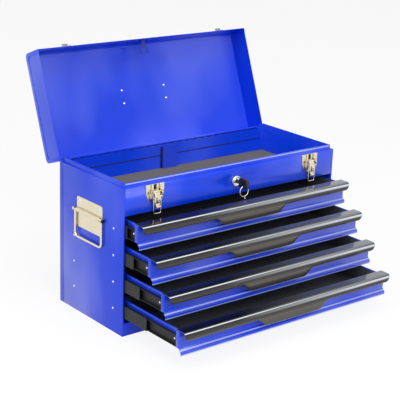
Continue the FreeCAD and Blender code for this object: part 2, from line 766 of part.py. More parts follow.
# Continuous hinge: knuckles of the two leaves take turns along one pin.
KNUCKLES = int(round(2 * (side - d.hinge_inset).number / d.hinge_pitch.number))
KNUCKLES = KNUCKLES if KNUCKLES % 2 else KNUCKLES - 1


def knuckle_row(body, leaf_edge, first, count, bored):
    """Every other knuckle of the hinge, each with the tongue that joins it to its leaf."""
    start = -KNUCKLES * d.hinge_pitch / 2 + first * d.hinge_pitch + d.hinge_gap / 2
    end = start + d.hinge_pitch - d.hinge_gap
    low, high = in_order(axis_z, leaf_edge)
    tongue = pad(body, "YZ", start, end, rectangle(leaf_in, leaf_in + d.hinge_leaf, low, high))
    knuckle = pad(body, "YZ", start, end, flats(axis_y, axis_z, d.hinge_barrel, KNUCKLE_FLATS))
    features = [tongue, knuckle]
    if bored:
        bore = pocket(body, "YZ", start - d.hinge_gap / 2, end + d.hinge_gap / 2,
                      flats(axis_y, axis_z, d.hinge_pin + d.hinge_clearance, PIN_FLATS, True))
        features.append(bore)
    row = body.newObject("PartDesign::LinearPattern", "Row")
    row.Originals = features
    row.Direction = ([item for item in body.Origin.OriginFeatures if item.Role == "X_Axis"][0], [""])
    row.setExpression("Length", (2 * (count - 1) * d.hinge_pitch).text)
    row.Occurrences = count
    body.Tip = row
    return row


def hinge_leaf_lower():
    """Cabinet leaf of the hinge; the pin is staked in its knuckles, round ones at both ends."""
    body = new_body("hinge_leaf_lower")
    half = KNUCKLES * d.hinge_pitch / 2
    outer = half - d.hinge_gap / 2
    pad(body, "YZ", -half, half,
        rectangle(leaf_in, leaf_in + d.hinge_leaf, back_top - d.hinge_leaf_height, back_top))
    knuckle_row(body, back_top, 0, KNUCKLES // 2 + 1, False)
    pad(body, "YZ", -outer, outer, flats(axis_y, axis_z, d.hinge_pin, PIN_FLATS))
    for sense in (-1, 1):
        pad(body, "YZ", sense * (outer - d.hinge_pitch + d.hinge_gap), sense * outer,
            Disc(axis_y, axis_z, d.hinge_barrel))
    return body


def hinge_leaf_upper():
    """Lid leaf of the hinge, with bored knuckles."""
    body = new_body("hinge_leaf_upper", OPEN_LID)
    half = KNUCKLES * d.hinge_pitch / 2
    low = axis_z + d.hinge_leaf_gap
    pad(body, "YZ", -half, half,
        rectangle(leaf_in, leaf_in + d.hinge_leaf, low, low + d.hinge_leaf_height))
    knuckle_row(body, low, 1, KNUCKLES // 2, True)
    return body


# Lid, drawn closed and then turned open about the hinge.
def lid_band(thickness):
    """Cross-section of the lid: up the front, over the top and down the rear."""
    rear_edge = axis_z + d.hinge_leaf_gap
    inner_front = lid_front + thickness
    inner_back = back - thickness
    inner_top = lid_top - thickness
    inner_corner = d.lid_corner - d.sheet
    return [(lid_front, lid_edge), (inner_front, lid_edge), (inner_front, inner_top, inner_corner),
            (inner_back, inner_top, inner_corner), (inner_back, rear_edge), (back, rear_edge),
            (back, lid_top, d.lid_corner), (lid_front, lid_top, d.lid_corner)]


def lid_shell():
    """Lid folded from one sheet, with a flange turned in round each end."""
    body = new_body("lid_shell", OPEN_LID)
    pad(body, "YZ", -side, side, lid_band(d.sheet))
    for sense in (-1, 1):
        pad(body, "YZ", sense * (side - d.sheet), sense * side, lid_band(d.lid_flange))
    return body


def lid_end(label, sense):
    """End panel of the lid, set behind the flange."""
    body = new_body(label, OPEN_LID)
    inner_corner = d.lid_corner - d.sheet
    inside = wall_in - d.sheet
    outline = [(lid_front + d.sheet, lid_edge), (back - d.sheet, lid_edge),
               (back - d.sheet, lid_top - d.sheet, inner_corner),
               (lid_front + d.sheet, lid_top - d.sheet, inner_corner)]
    pad(body, "YZ", sense * inside, sense * wall_in, outline)
    return body


def latch_catches():
    """Hooked catches on the front of the lid."""
    body = new_body("latch_catches", OPEN_LID)
    plate_back = lid_front
    plate_front = lid_front - d.latch_gauge
    low = lid_edge + d.catch_rise
    shelf = lid_edge + d.catch_shelf
    for sense in (-1, 1):
        centre = sense * latch_x
        half = d.catch_width / 2
        pad(body, "XZ", plate_front, plate_back,
            rectangle(centre - half, centre + half, low, low + d.catch_height))
        tip = plate_front - d.catch_reach
        lip_back = tip + d.catch_lip_gauge
        shelf_top = shelf + d.latch_gauge
        hook = [(tip, shelf), (plate_front, shelf), (plate_front, shelf_top), (lip_back, shelf_top),
                (lip_back, shelf + d.catch_lip), (tip, shelf + d.catch_lip)]
        width = d.catch_shelf_width / 2
        pad(body, "YZ", centre - width, centre + width, hook)
    return body


def lid_hasp():
    """Hasp inside the front of the lid, whose window takes the lock's cam."""
    body = new_body("lid_hasp", OPEN_LID)
    flange = lid_front + d.sheet
    low = lid_edge + d.hasp_rise
    high = low + d.hasp_gauge
    stem = d.hasp_stem / 2
    loop = d.hasp_loop_width / 2
    window = d.hasp_window_width / 2
    centre_y = front + d.plug_length + d.cam_gauge / 2
    loop_front = centre_y - d.hasp_loop_depth / 2
    loop_back = centre_y + d.hasp_loop_depth / 2
    pad(body, "XZ", flange, flange + d.hasp_gauge,
        rectangle(d.hasp_offset - stem, d.hasp_offset + stem, low, low + d.hasp_foot))
    pad(body, "XY", low, high,
        rectangle(d.hasp_offset - stem, d.hasp_offset + stem, flange, loop_front + d.hasp_gauge))
    pad(body, "XY", low, high,
        rectangle(d.hasp_offset - loop, d.hasp_offset + loop, loop_front, loop_back, d.hasp_corner))
    pocket(body, "XY", low - d.overrun, high + d.overrun,
           rectangle(d.hasp_offset - window, d.hasp_offset + window,
                     centre_y - d.hasp_window_depth / 2, centre_y + d.hasp_window_depth / 2))
    return body


def top_handle_saddles():
    """Saddles on the lid that hold the ends of the top handle."""
    body = new_body("top_handle_saddles", OPEN_LID)
    half = d.saddle_foot / 2
    for sense in (-1, 1):
        low = sense * d.saddle_spread / 2 - d.saddle_width / 2
        high = sense * d.saddle_spread / 2 + d.saddle_width / 2
        pad(body, "YZ", low, high, rectangle(-half, half, lid_top, lid_top + d.saddle_gauge))
        pad(body, "YZ", low, high, rectangle(-d.saddle_barrel, d.saddle_barrel, lid_top, saddle_axis_z))
        pad(body, "YZ", low, high, flats(0, saddle_axis_z, d.saddle_barrel, TUBE_FLATS))
        pocket(body, "YZ", low - d.overrun, high + d.overrun,
               Disc(0, saddle_axis_z, d.top_wire + d.top_clearance))
        pocket(body, "XY", lid_top - d.overrun, lid_top,
               rectangle(low - d.sheet, high + d.sheet, -half, half))
    return body


def top_handle():
    """Bent wire handle, hanging from the open lid."""
    hang = "placement(vector(0; 0; 0); rotation(vector(1; 0; 0); %s - 90); vector(0; 0; %s))" % (
        d.lid_open_angle.text, saddle_axis_z.text)
    body = new_body("top_handle", OPEN_LID + " * " + hang)
    pin = d.saddle_spread / 2 - d.top_pin_in
    bend = d.top_bend
    leg = d.saddle_spread / 2 + d.saddle_width / 2 + d.top_leg_gap + bend
    route = [(-pin, 0), (-leg, 0, bend), (-leg, d.top_reach, bend), (leg, d.top_reach, bend),
             (leg, 0, bend), (pin, 0)]
    wire(body, "XY", saddle_axis_z, route, False, "YZ", -pin,
         flats(0, saddle_axis_z, d.top_wire, WIRE_FLATS))
    return body


# Latches.
def latch_lever(label, sense):
    """Lever of a latch: a folded strip with a rolled end and a curled tip."""
    body = new_body(label)
    centre = sense * latch_x
    half = d.lever_width / 2
    face = lever_axis_y - d.lever_face
    bend_z = lever_axis_z - d.lever_shoulder - d.lever_straight
    curl_y = face - d.lever_curl
    inner_radius = d.lever_curl
    outer_radius = d.lever_curl + d.latch_gauge
    tip_cos = cosine(d.lever_curl_angle)
    tip_sin = sine(d.lever_curl_angle)
    shoulder = lever_axis_z - d.lever_shoulder
    strip = [(lever_axis_y - d.latch_gauge, lever_axis_z + d.latch_gauge),
             (face, shoulder),
             Bend(face, bend_z, inner_radius, False),
             (curl_y + inner_radius * tip_cos, bend_z - inner_radius * tip_sin),
             Bend(curl_y + outer_radius * tip_cos, bend_z - outer_radius * tip_sin, outer_radius, True),
             (face + d.latch_gauge, bend_z),
             (face + d.latch_gauge, shoulder),
             (lever_axis_y, lever_axis_z - d.latch_gauge)]
    pad(body, "YZ", centre - half, centre + half, strip)
    pad(body, "YZ", centre - half, centre + half, Disc(lever_axis_y, lever_axis_z, d.lever_barrel))
    tip = bend_z - outer_radius * tip_sin
    for end in (-1, 1):
        corner = [(centre + end * half, bend_z), (centre + end * (half + d.sheet), bend_z),
                  (centre + end * (half + d.sheet), tip - d.sheet),
                  (centre + end * d.lever_tip_width / 2, tip - d.sheet)]
        pocket(body, "XZ", curl_y - d.overrun, face + d.overrun, corner)
    pin = cheek_out + d.pin_end
    pad(body, "YZ", centre - pin, centre + pin, flats(lever_axis_y, lever_axis_z, d.lever_pin, PIN_FLATS))
    return body


def latch_bail(label, sense):
    """Wire bail of a latch, its ends turned out into the cheeks."""
    body = new_body(label)
    centre = sense * latch_x
    half = d.bail_width / 2
    end = cheek_out + d.pin_end
    foot = bail_axis_z - d.bail_length
    route = [(centre - end, bail_axis_z), (centre - half, bail_axis_z, d.bail_bend),
             (centre - half, foot, d.bail_corner), (centre + half, foot, d.bail_corner),
             (centre + half, bail_axis_z, d.bail_bend), (centre + end, bail_axis_z)]
    wire(body, "XZ", bail_axis_y, route, False, "YZ", centre - end,
         flats(bail_axis_y, bail_axis_z, d.bail_wire, WIRE_FLATS))
    return body


def side_handle(label, sense):
    """Closed wire handle through the tube of its plate."""
    body = new_body(label)
    at = sense * (side + d.handle_axis_out)
    half = d.handle_width / 2
    top = handle_axis_z
    grip = top - d.handle_drop
    route = [(0, top), (-half, top, d.handle_bend_top), (-half, grip, d.handle_bend_foot),
             (half, grip, d.handle_bend_foot), (half, top, d.handle_bend_top)]
    wire(body, "YZ", at, route, True, "XZ", 0, flats(at, top, d.handle_wire, WIRE_FLATS))
    return body


# Lock.
def lock_plug():
    """Turning plug of the lock with its cam, which points aside while the lid is open."""
    body = new_body("lock_plug")
    end = front + d.plug_length
    half = d.cam_width / 2
    pad(body, "XZ", front - d.plug_proud, end, Disc(0, lock_z, d.plug_radius))
    cam = [(-d.cam_reach, lock_z - half), (half, lock_z - half), (half, lock_z + half),
           (-d.cam_reach, lock_z + half)]
    pad(body, "XZ", end, end + d.cam_gauge, cam)
    return body


def key():
    """Key in the lock: the blade's stub and the moulded head with its ring hole."""
    body = new_body("key")
    plug_face = front - d.plug_proud
    head_back = plug_face - d.key_blade
    head_front = head_back - d.key_head_length
    half = d.key_head_height / 2
    width = d.key_head_width / 2
    pad(body, "YZ", -width, width,
        rectangle(head_front, head_back, lock_z - half, lock_z + half, d.key_corner))
    pad(body, "YZ", -d.key_gauge / 2, d.key_gauge / 2,
        rectangle(head_back - d.key_corner, plug_face, lock_z - d.key_blade / 2, lock_z + d.key_blade / 2))
    pocket(body, "YZ", -width - d.overrun, width + d.overrun,
           Disc(head_front + d.key_hole_in, lock_z - d.key_hole_drop, d.key_hole))
    return body


def key_ring():
    """Ring through the key's head."""
    body = new_body("key_ring")
    at = front - d.plug_proud - d.key_blade - d.key_head_length + d.key_hole_in
    centre = lock_z - d.ring_hang
    revolve(body, "YZ", 0, flats(at, centre + d.ring_radius, d.ring_wire, WIRE_FLATS),
            (at - d.ring_radius, centre), (at + d.ring_radius, centre), 360)
    return body


# Lock bar: the closing lid pushes it down, and its fingers drop inside the shut drawers.
def lock_bar():
    body = new_body("lock_bar")
    low_x = d.hasp_offset - d.bar_width / 2
    high_x = d.hasp_offset + d.bar_width / 2
    pad(body, "XY", d.bracket_height - d.bar_foot, tray_wall_top + d.bar_above_wall,
        rectangle(low_x, high_x, bar_front, bar_back))
    tip_back = pan_back - d.sheet - d.bar_tip_gap
    tip_front = tip_back - d.bar_finger_tip
    for drawer in range(1, DRAWERS + 1):
        under = lip(drawer) + drawer_top + d.bar_finger_lift
        tip_low = lip(drawer) + drawer_top + d.bar_tip_clear
        finger = [(tip_front, tip_low), (tip_back, tip_low), (tip_back, under), (bar_front, under),
                  (bar_front, under + d.bar_finger_gauge), (tip_front, under + d.bar_finger_gauge)]
        pad(body, "YZ", low_x, high_x, finger)
    return body


# Drawers, drawn shut with the lip at zero height and then moved to their places.
def drawer_pan(drawer, placement):
    """Drawer tray with a rolled hem outside each side."""
    body = new_body("drawer_%d_pan" % drawer, placement)
    low = d.pan_lift
    pad(body, "XY", low, drawer_top,
        rectangle(-drawer_x, drawer_x, front + d.sheet, pan_back))
    for sense in (-1, 1):
        pad(body, "XY", drawer_top - d.hem_height, drawer_top,
            rectangle(sense * drawer_x, sense * (drawer_x + d.hem_width), front + d.sheet, pan_back))
    inner_x = drawer_x - d.sheet
    pocket(body, "XY", low + d.sheet, drawer_top + d.overrun,
           rectangle(-inner_x, inner_x, front + 2 * d.sheet, pan_back - d.sheet))
    return body


def drawer_front(drawer, placement):
    """Drawer front whose lower lip kicks out, folded back at both ends."""
    body = new_body("drawer_%d_front" % drawer, placement)
    kick = front - d.kick_reach
    slope = d.sheet * (d.kick_high - d.kick_low) / d.kick_reach / 2
    section = [(front, front_height), (front, d.kick_high), (kick, d.kick_low), (kick, 0),
               (kick + d.sheet, 0), (kick + d.sheet, d.kick_low - slope),
               (front + d.sheet, d.kick_high - slope), (front + d.sheet, front_height)]
    pad(body, "YZ", -drawer_front_x, drawer_front_x, section)
    for sense in (-1, 1):
        inner = drawer_front_x - d.sheet
        pad(body, "XY", d.kick_high, front_height,
            rectangle(sense * inner, sense * drawer_front_x, front, front + d.front_return))
    return body


def drawer_pull(drawer, placement):
    """Full-width pull: a top plate over the front, a bead and a lip that is deeper in the middle."""
    body = new_body("drawer_%d_pull" % drawer, placement)
    top = front_height + d.pull_gauge
    bead_y = front - d.pull_reach + d.pull_bead
    bead_z = top - d.pull_bead
    hook = front + d.sheet
    plate = rectangle(bead_y, hook + d.pull_gauge, front_height, top)
    pad(body, "YZ", -pull_x, pull_x, plate)
    hook_x = drawer_front_x - d.sheet - d.pull_hook_gap
    pad(body, "YZ", -hook_x, hook_x,
        rectangle(hook, hook + d.pull_gauge, front_height - d.pull_hook, top))
    pad(body, "YZ", -pull_x, pull_x, Disc(bead_y, bead_z, d.pull_bead))
    foot = top - d.pull_drop
    label_foot = top - d.pull_label_drop
    half = d.pull_label_width / 2
    slope = half + d.pull_label_slope
    bevel = pull_x - d.pull_end_run
    lip_line = [(-pull_x, foot + d.pull_end_rise), (-bevel, foot), (-slope, foot), (-half, label_foot),
                (half, label_foot), (slope, foot), (bevel, foot), (pull_x, foot + d.pull_end_rise),
                (pull_x, bead_z), (-pull_x, bead_z)]
    face = front - d.pull_reach
    pad(body, "XZ", face, face + d.pull_gauge, lip_line)
    return body


def drawer_mat(drawer, placement):
    body = new_body("drawer_%d_mat" % drawer, placement)
    edge_x = drawer_x - d.sheet - d.mat_gap
    floor = d.pan_lift + d.sheet
    pad(body, "XY", floor, floor + d.drawer_mat,
        rectangle(-edge_x, edge_x, front + 2 * d.sheet + d.mat_gap, pan_back - d.sheet - d.mat_gap))
    return body


def drawer_runners(drawer, placement):
    """Inner slide members on the sides of a drawer."""
    body = new_body("drawer_%d_runners" % drawer, placement)
    half = d.rail_height / 2 - 2 * (d.rail_gauge + d.slide_gap)
    reach = middle_web - d.rail_gauge - d.flange_gap
    sections = [channel_section(sense, drawer_x, reach, d.rail_centre, half) for sense in (-1, 1)]
    pad(body, "XZ", front + d.inner_setback, pan_back - d.inner_rear_gap, *sections)
    return body


def slide_middle(drawer, placement):
    """Middle slide members of a drawer, which follow it at half its travel."""
    body = new_body("slide_middle_%d" % drawer, placement)
    half = d.rail_height / 2 - d.rail_gauge - d.slide_gap
    sections = [channel_section(sense, middle_web, middle_flange, d.rail_centre, half)
                for sense in (-1, 1)]
    pad(body, "XZ", rail_front, rail_back - d.middle_short, *sections)
    return body


nodes = [
    side_panel("side_panel_left", -1),
    side_panel("side_panel_right", 1),
    back_panel(),
    base_pan(),
    front_panel(),
    tray(),
    tray_mat(),
    lock_bar_channel(),
    slide_rails("slide_rails_left", -1),
    slide_rails("slide_rails_right", 1),
    handle_plate("handle_plate_left", -1),
    handle_plate("handle_plate_right", 1),
    latch_bases(),
    lock_housing(),
    hinge_leaf_lower(),
    lid_shell(),
    lid_end("lid_end_left", -1),
    lid_end("lid_end_right", 1),
    hinge_leaf_upper(),
    latch_catches(),
    lid_hasp(),
    top_handle_saddles(),
    top_handle(),
    latch_lever("latch_lever_left", -1),
    latch_lever("latch_lever_right", 1),
    latch_bail("latch_bail_left", -1),
    latch_bail("latch_bail_right", 1),
    side_handle("side_handle_left", -1),
    side_handle("side_handle_right", 1),
    lock_plug(),
    key(),
    key_ring(),
    lock_bar(),
]
for number in range(1, DRAWERS + 1):
    out = outs[number - 1]
    place = moved(-out, lip(number))
    nodes += [drawer_pan(number, place), drawer_front(number, place), drawer_pull(number, place),
              drawer_mat(number, place), drawer_runners(number, place),
              slide_middle(number, moved(-out / 2, lip(number)))]

doc.recompute()

# Nothing is written unless every object and every sub-part is sound.
for item in doc.Objects:
    if "Invalid" in item.State or "Error" in item.State:
        raise RuntimeError("%s (%s) did not compute: %s" % (item.Name, item.Label, item.State))
for item in doc.Objects:
    if item.TypeId == "PartDesign::Pocket":
        removed = item.BaseFeature.Shape.Volume - item.Shape.Volume
        if removed <= 0:
            raise RuntimeError("%s in %s cuts nothing" % (item.Name, item.getParentGeoFeatureGroup().Label))
for body in nodes:
    if body.Shape.isNull() or not body.Shape.isValid():
        raise RuntimeError("%s has no sound shape" % body.Label)

os.makedirs(PARTS_FOLDER, exist_ok=True)
for body in nodes:
    body.Shape.exportStep(os.path.join(PARTS_FOLDER, body.Label + ".step"))
print(len(nodes), "sub-parts written")
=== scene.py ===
# %% [markdown]
# # A steel tool box with drawers
# The box stands open: lid up, drawers stepped out like stairs. Its sheet-metal shapes come from the CAD
# frame, so this lesson gives them paint and plating, adds the small parts that a press shop fits last
# (rivets, the spare key, smooth wire), and lights it like a catalogue photograph.

# %% Load the frame
import json
import math

import bpy
from mathutils import Matrix, Vector


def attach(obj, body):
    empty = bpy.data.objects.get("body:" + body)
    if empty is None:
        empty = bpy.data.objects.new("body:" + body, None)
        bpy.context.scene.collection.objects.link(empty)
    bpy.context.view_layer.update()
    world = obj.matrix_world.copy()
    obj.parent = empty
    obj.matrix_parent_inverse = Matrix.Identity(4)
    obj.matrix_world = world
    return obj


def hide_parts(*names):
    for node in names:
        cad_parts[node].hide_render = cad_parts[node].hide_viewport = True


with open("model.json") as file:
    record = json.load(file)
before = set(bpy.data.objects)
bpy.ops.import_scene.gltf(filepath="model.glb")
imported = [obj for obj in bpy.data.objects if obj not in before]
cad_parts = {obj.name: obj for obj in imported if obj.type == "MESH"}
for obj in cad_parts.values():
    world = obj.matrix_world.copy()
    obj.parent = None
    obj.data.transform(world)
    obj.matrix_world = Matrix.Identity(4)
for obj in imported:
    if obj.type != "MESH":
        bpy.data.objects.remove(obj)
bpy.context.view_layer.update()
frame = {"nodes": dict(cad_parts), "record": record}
nodes = frame["nodes"]
MM = 0.001
print(len(nodes), "sheet-metal pieces loaded")

# %% [markdown]
# ## Camera
# The photograph was taken from the left front and from above. The place, the lens and the slight roll come
# from fitting the corners of the cabinet, whose inside sizes are known.

# %% Place the camera
YAW, PITCH, ROLL = math.radians(39.02), math.radians(-17.70), math.radians(1.98)
CAMERA_PLACE = (-1.4405, -1.7815, 0.9249)
SENSOR_WIDTH, FOCAL_LENGTH = 36, 107.2


def camera_axes():
    """Right, up and backward directions of the camera, the roll included."""
    forward = Vector((math.sin(YAW) * math.cos(PITCH), math.cos(YAW) * math.cos(PITCH), math.sin(PITCH)))
    right = Vector((math.cos(YAW), -math.sin(YAW), 0))
    up = right.cross(forward)
    turned_right = math.cos(ROLL) * right + math.sin(ROLL) * up
    turned_up = -math.sin(ROLL) * right + math.cos(ROLL) * up
    return turned_right, turned_up, -forward


camera_data = bpy.data.cameras.new("catalogue_camera")
camera = bpy.data.objects.new("catalogue_camera", camera_data)
bpy.context.scene.collection.objects.link(camera)
camera.matrix_world = Matrix.Translation(CAMERA_PLACE) @ Matrix(camera_axes()).transposed().to_4x4()
camera_data.sensor_width = SENSOR_WIDTH
camera_data.lens = FOCAL_LENGTH
bpy.context.scene.camera = camera
print("camera at", [round(value, 3) for value in camera.location])

# %% [markdown]
# ## Floor and light
# Catalogue pictures are lit from large soft boxes, so edges stay readable and gloss shows as broad pale
# bands. The floor and world are white only to the camera and to reflections; the light itself stays plain.

# %% Helpers that set the selection before an operator acts
def deselect():
    if bpy.context.mode != "OBJECT":
        bpy.ops.object.mode_set(mode="OBJECT")
    bpy.ops.object.select_all(action="DESELECT")


def pick(piece):
    """Select one object alone and make it active."""
    deselect()
    piece.select_set(True)
    bpy.context.view_layer.objects.active = piece


# %% Shader maths as plain expressions
class Value:
    """Wraps a node's output so that ordinary operators add Math nodes."""

    def __init__(self, tree, socket):
        self.tree = tree
        self.socket = socket

    def math(self, operation, *others):
        node = self.tree.nodes.new("ShaderNodeMath")
        node.operation = operation
        for slot, item in zip(node.inputs, [self, *others]):
            if isinstance(item, Value):
                self.tree.links.new(item.socket, slot)
            else:
                slot.default_value = item
        return Value(self.tree, node.outputs[0])

    def __add__(self, other):
        return self.math("ADD", other)

    def __sub__(self, other):
        return self.math("SUBTRACT", other)

    def __mul__(self, other):
        return self.math("MULTIPLY", other)

    def above(self, other):
        return self.math("GREATER_THAN", other)

    def below(self, other):
        return self.math("LESS_THAN", other)

    def sine(self):
        return self.math("SINE")

    def at_least(self, other):
        return self.math("MAXIMUM", other)

    def fraction(self):
        return self.math("FRACT")


class Finish:
    """A material being mixed: every node comes from one method."""

    def __init__(self, name):
        self.material = bpy.data.materials.new(name)
        self.material.use_nodes = True
        self.tree = self.material.node_tree
        self.tree.nodes.clear()
        self.output = self.tree.nodes.new("ShaderNodeOutputMaterial")

    def node(self, kind, settings=None, stops=None, out=0, **sockets):
        """Add a node; its inputs are given by name, or by number as i0, i1 and so on."""
        node = self.tree.nodes.new(kind)
        for key, item in (settings or {}).items():
            setattr(node, key, item)
        if stops:
            ramp = node.color_ramp
            while len(ramp.elements) < len(stops):
                ramp.elements.new(0.5)
            for element, (place, colour) in zip(ramp.elements, stops):
                element.position = place
                element.color = (*colour, 1) if len(colour) == 3 else colour
        for key, item in sockets.items():
            by_number = key[0] == "i" and key[1:].isdigit()
            slot = node.inputs[int(key[1:])] if by_number else node.inputs[key.replace("_", " ")]
            if isinstance(item, Value):
                self.tree.links.new(item.socket, slot)
            else:
                slot.default_value = item
        return Value(self.tree, node.outputs[out])

    def place(self):
        """Object coordinates in metres, as x, y and z."""
        coordinates = self.node("ShaderNodeTexCoord", out=3)
        split = self.tree.nodes.new("ShaderNodeSeparateXYZ")
        self.tree.links.new(coordinates.socket, split.inputs[0])
        return coordinates, [Value(self.tree, socket) for socket in split.outputs]

    def stretched(self, coordinates, x, y, z):
        return self.node("ShaderNodeMapping", i0=coordinates, Scale=(x, y, z))

    def noise(self, vector, scale, detail=2.0, roughness=0.5):
        return self.node("ShaderNodeTexNoise", Vector=vector, Scale=scale, Detail=detail,
                         Roughness=roughness)

    def mix(self, factor, first, second):
        return self.node("ShaderNodeMix", {"data_type": "RGBA"}, out=2, i0=factor, i6=first, i7=second)

    def bump(self, height, strength, distance):
        return self.node("ShaderNodeBump", Strength=strength, Distance=distance, Height=height)

    def finish(self, **sockets):
        shader = self.node("ShaderNodeBsdfPrincipled", **sockets)
        self.tree.links.new(shader.socket, self.output.inputs["Surface"])
        return self.material


def rgb(red, green, blue):
    """A colour as seen on a screen, 0 to 255, turned into the light it stands for."""
    def linear(value):
        value = value / 255
        return value / 12.92 if value <= 0.04045 else ((value + 0.055) / 1.055) ** 2.4
    return (linear(red), linear(green), linear(blue), 1.0)


# %% White world and pale floor
WORLD_LIGHT, PLAIN_WHITE = 0.42, 1.0
FLOOR_WIDTH, FLOOR_DROP = 12, 0.0002
FLOOR_TONE, FLOOR_WHITENESS = 0.92, 0.88


def white_to_the_camera(tree, output, own_shader, white_shader, share):
    """Blend a plain white into what the camera and mirrors see, and keep the rest."""
    path = tree.nodes.new("ShaderNodeLightPath")
    seen = Value(tree, path.outputs["Is Camera Ray"]).at_least(Value(tree, path.outputs["Is Glossy Ray"]))
    seen = seen.at_least(Value(tree, path.outputs["Is Transmission Ray"])) * share
    blend = tree.nodes.new("ShaderNodeMixShader")
    tree.links.new(seen.socket, blend.inputs[0])
    tree.links.new(own_shader.outputs[0], blend.inputs[1])
    tree.links.new(white_shader.outputs[0], blend.inputs[2])
    tree.links.new(blend.outputs[0], output.inputs["Surface"])


world = bpy.data.worlds.new("studio")
bpy.context.scene.world = world
world.use_nodes = True
tree = world.node_tree
tree.nodes.clear()
soft = tree.nodes.new("ShaderNodeBackground")
soft.inputs["Color"].default_value = (1, 1, 1, 1)
soft.inputs["Strength"].default_value = WORLD_LIGHT
white = tree.nodes.new("ShaderNodeBackground")
white.inputs["Color"].default_value = (1, 1, 1, 1)
white.inputs["Strength"].default_value = PLAIN_WHITE
world_output = tree.nodes.new("ShaderNodeOutputWorld")
white_to_the_camera(tree, world_output, soft, white, PLAIN_WHITE)

deselect()
bpy.ops.mesh.primitive_plane_add(size=FLOOR_WIDTH, location=(0, 0, -FLOOR_DROP))
floor = bpy.context.object
floor.name = "studio_floor"
floor_finish = Finish("studio_floor")
matt = floor_finish.tree.nodes.new("ShaderNodeBsdfDiffuse")
matt.inputs["Color"].default_value = (FLOOR_TONE, FLOOR_TONE, FLOOR_TONE, 1)
glow = floor_finish.tree.nodes.new("ShaderNodeEmission")
glow.inputs["Strength"].default_value = PLAIN_WHITE
white_to_the_camera(floor_finish.tree, floor_finish.output, matt, glow, FLOOR_WHITENESS)
floor.data.materials.append(floor_finish.material)
print("floor is", floor.dimensions.x, "m across")


# %% Soft boxes
def soft_box(name, place, aim, size, power):
    """Large area lamp in metres and watts, turned to face the point it is aimed at."""
    lamp = bpy.data.lights.new(name, "AREA")
    lamp.shape = "RECTANGLE"
    lamp.size, lamp.size_y = size
    lamp.energy = power
    holder = bpy.data.objects.new(name, lamp)
    bpy.context.scene.collection.objects.link(holder)
    holder.location = place
    holder.rotation_euler = (Vector(aim) - Vector(place)).to_track_quat("-Z", "Y").to_euler()


bpy.context.scene.view_settings.view_transform = "Standard"
soft_box("box_front", (-0.5, -2.7, 1.8), (0, 0, 0.2), (2.0, 1.4), 44)
soft_box("box_left", (-2.6, -0.2, 1.5), (0, 0, 0.25), (1.4, 1.8), 20)
soft_box("box_over", (-0.2, -0.4, 2.6), (0, 0, 0.3), (2.0, 1.6), 30)
print("three soft boxes")

# %% [markdown]
# ## Paint
# The cabinet wears a glossy royal blue stove enamel with the faint orange peel that sprayed enamel always
# has. Soft clouds of a paler blue and of clear coat stand for the reflections of a studio. Thin pale lines
# set by height are painted highlights of folded edges: two on the lip of each drawer and one along the top
# of the front panel.


# %% Blue enamel
LOWEST_LIP, PITCH_OF_DRAWERS = 26.8 * MM, 52.6 * MM
# Pale blue of the painted studio reflections, and a paler blue for the painted highlights of folded edges.
PALE_BLUE, HIGHLIGHT_BLUE = (66, 92, 230), (172, 184, 250)
# Heights of the painted highlights, as shares of the pitch of the drawers.
LIP_HIGHLIGHTS, PANEL_HIGHLIGHT = [(0.0, 0.04), (0.15, 0.19)], [(5.085, 5.14)]


def blue_enamel(name, tone, highlight_bands=(), each_drawer=False):
    """Enamel; the bands given are painted highlights of folded edges, as shares of the pitch of the drawers.
    """
    paint = Finish(name)
    coordinates, (_, _, z) = paint.place()
    cloud = paint.noise(paint.stretched(coordinates, 1, 1, 0.6), 5.0, 2.0)
    patch = paint.node("ShaderNodeValToRGB", i0=cloud, stops=[(0.40, (0, 0, 0)), (0.60, (1, 1, 1))])
    peel = paint.noise(coordinates, 420.0, 2.0)
    colour = paint.mix(patch * 0.5, rgb(*tone), rgb(*PALE_BLUE))
    if highlight_bands:
        height = (z - LOWEST_LIP) * (1 / PITCH_OF_DRAWERS)
        height = height.fraction() if each_drawer else height
    # Painted highlights of folded edges, as pale bands by height.
    for low, high in highlight_bands:
        colour = paint.mix(height.above(low) * height.below(high) * 0.8, colour, rgb(*HIGHLIGHT_BLUE))
    return paint.finish(Base_Color=colour, Roughness=cloud * 0.10 + 0.26, Coat_Weight=patch * 0.9,
                        Coat_Roughness=0.08, Specular_IOR_Level=0.4,
                        Normal=paint.bump(peel + cloud * 60.0, 0.10, 0.0004))


enamel = blue_enamel("blue_enamel", (0, 58, 214))
front_enamel = blue_enamel("front_enamel", (0, 56, 208), LIP_HIGHLIGHTS, each_drawer=True)
panel_enamel = blue_enamel("panel_enamel", (0, 58, 214), PANEL_HIGHLIGHT)
print("enamel mixed")

# %% [markdown]
# ## Plating, steel and aluminium
# Latches and handles are warm bright nickel. Most rivets, the lock and the key ring are chrome, and the
# catches on the lid are a greyer nickel. The slides are black oxide steel.


# %% Metals
def plated(name, tone, roughness, strength=0.05):
    metal = Finish(name)
    coordinates, _ = metal.place()
    cloud = metal.noise(coordinates, 22.0, 3.0)
    lines = metal.noise(coordinates, 300.0, 2.0)
    colour = metal.mix(cloud, rgb(*(value * 0.94 for value in tone)), rgb(*tone))
    return metal.finish(Base_Color=colour, Metallic=1.0, Roughness=lines * 0.14 + (roughness - 0.07),
                        Normal=metal.bump(lines, strength, 0.0003))


nickel = plated("warm_nickel", (238, 228, 202), 0.24)
chrome = plated("polished_chrome", (232, 234, 238), 0.12, strength=0.02)
grey_nickel = plated("grey_nickel", (150, 148, 142), 0.42)


def black_steel():
    steel = Finish("black_oxide")
    coordinates, _ = steel.place()
    grain = steel.noise(coordinates, 260.0, 3.0)
    colour = steel.mix(grain, rgb(10, 10, 12), rgb(30, 30, 34))
    return steel.finish(Base_Color=colour, Metallic=0.15, Roughness=grain * 0.2 + 0.42,
                        Normal=steel.bump(grain, 0.08, 0.0003))


oxide = black_steel()
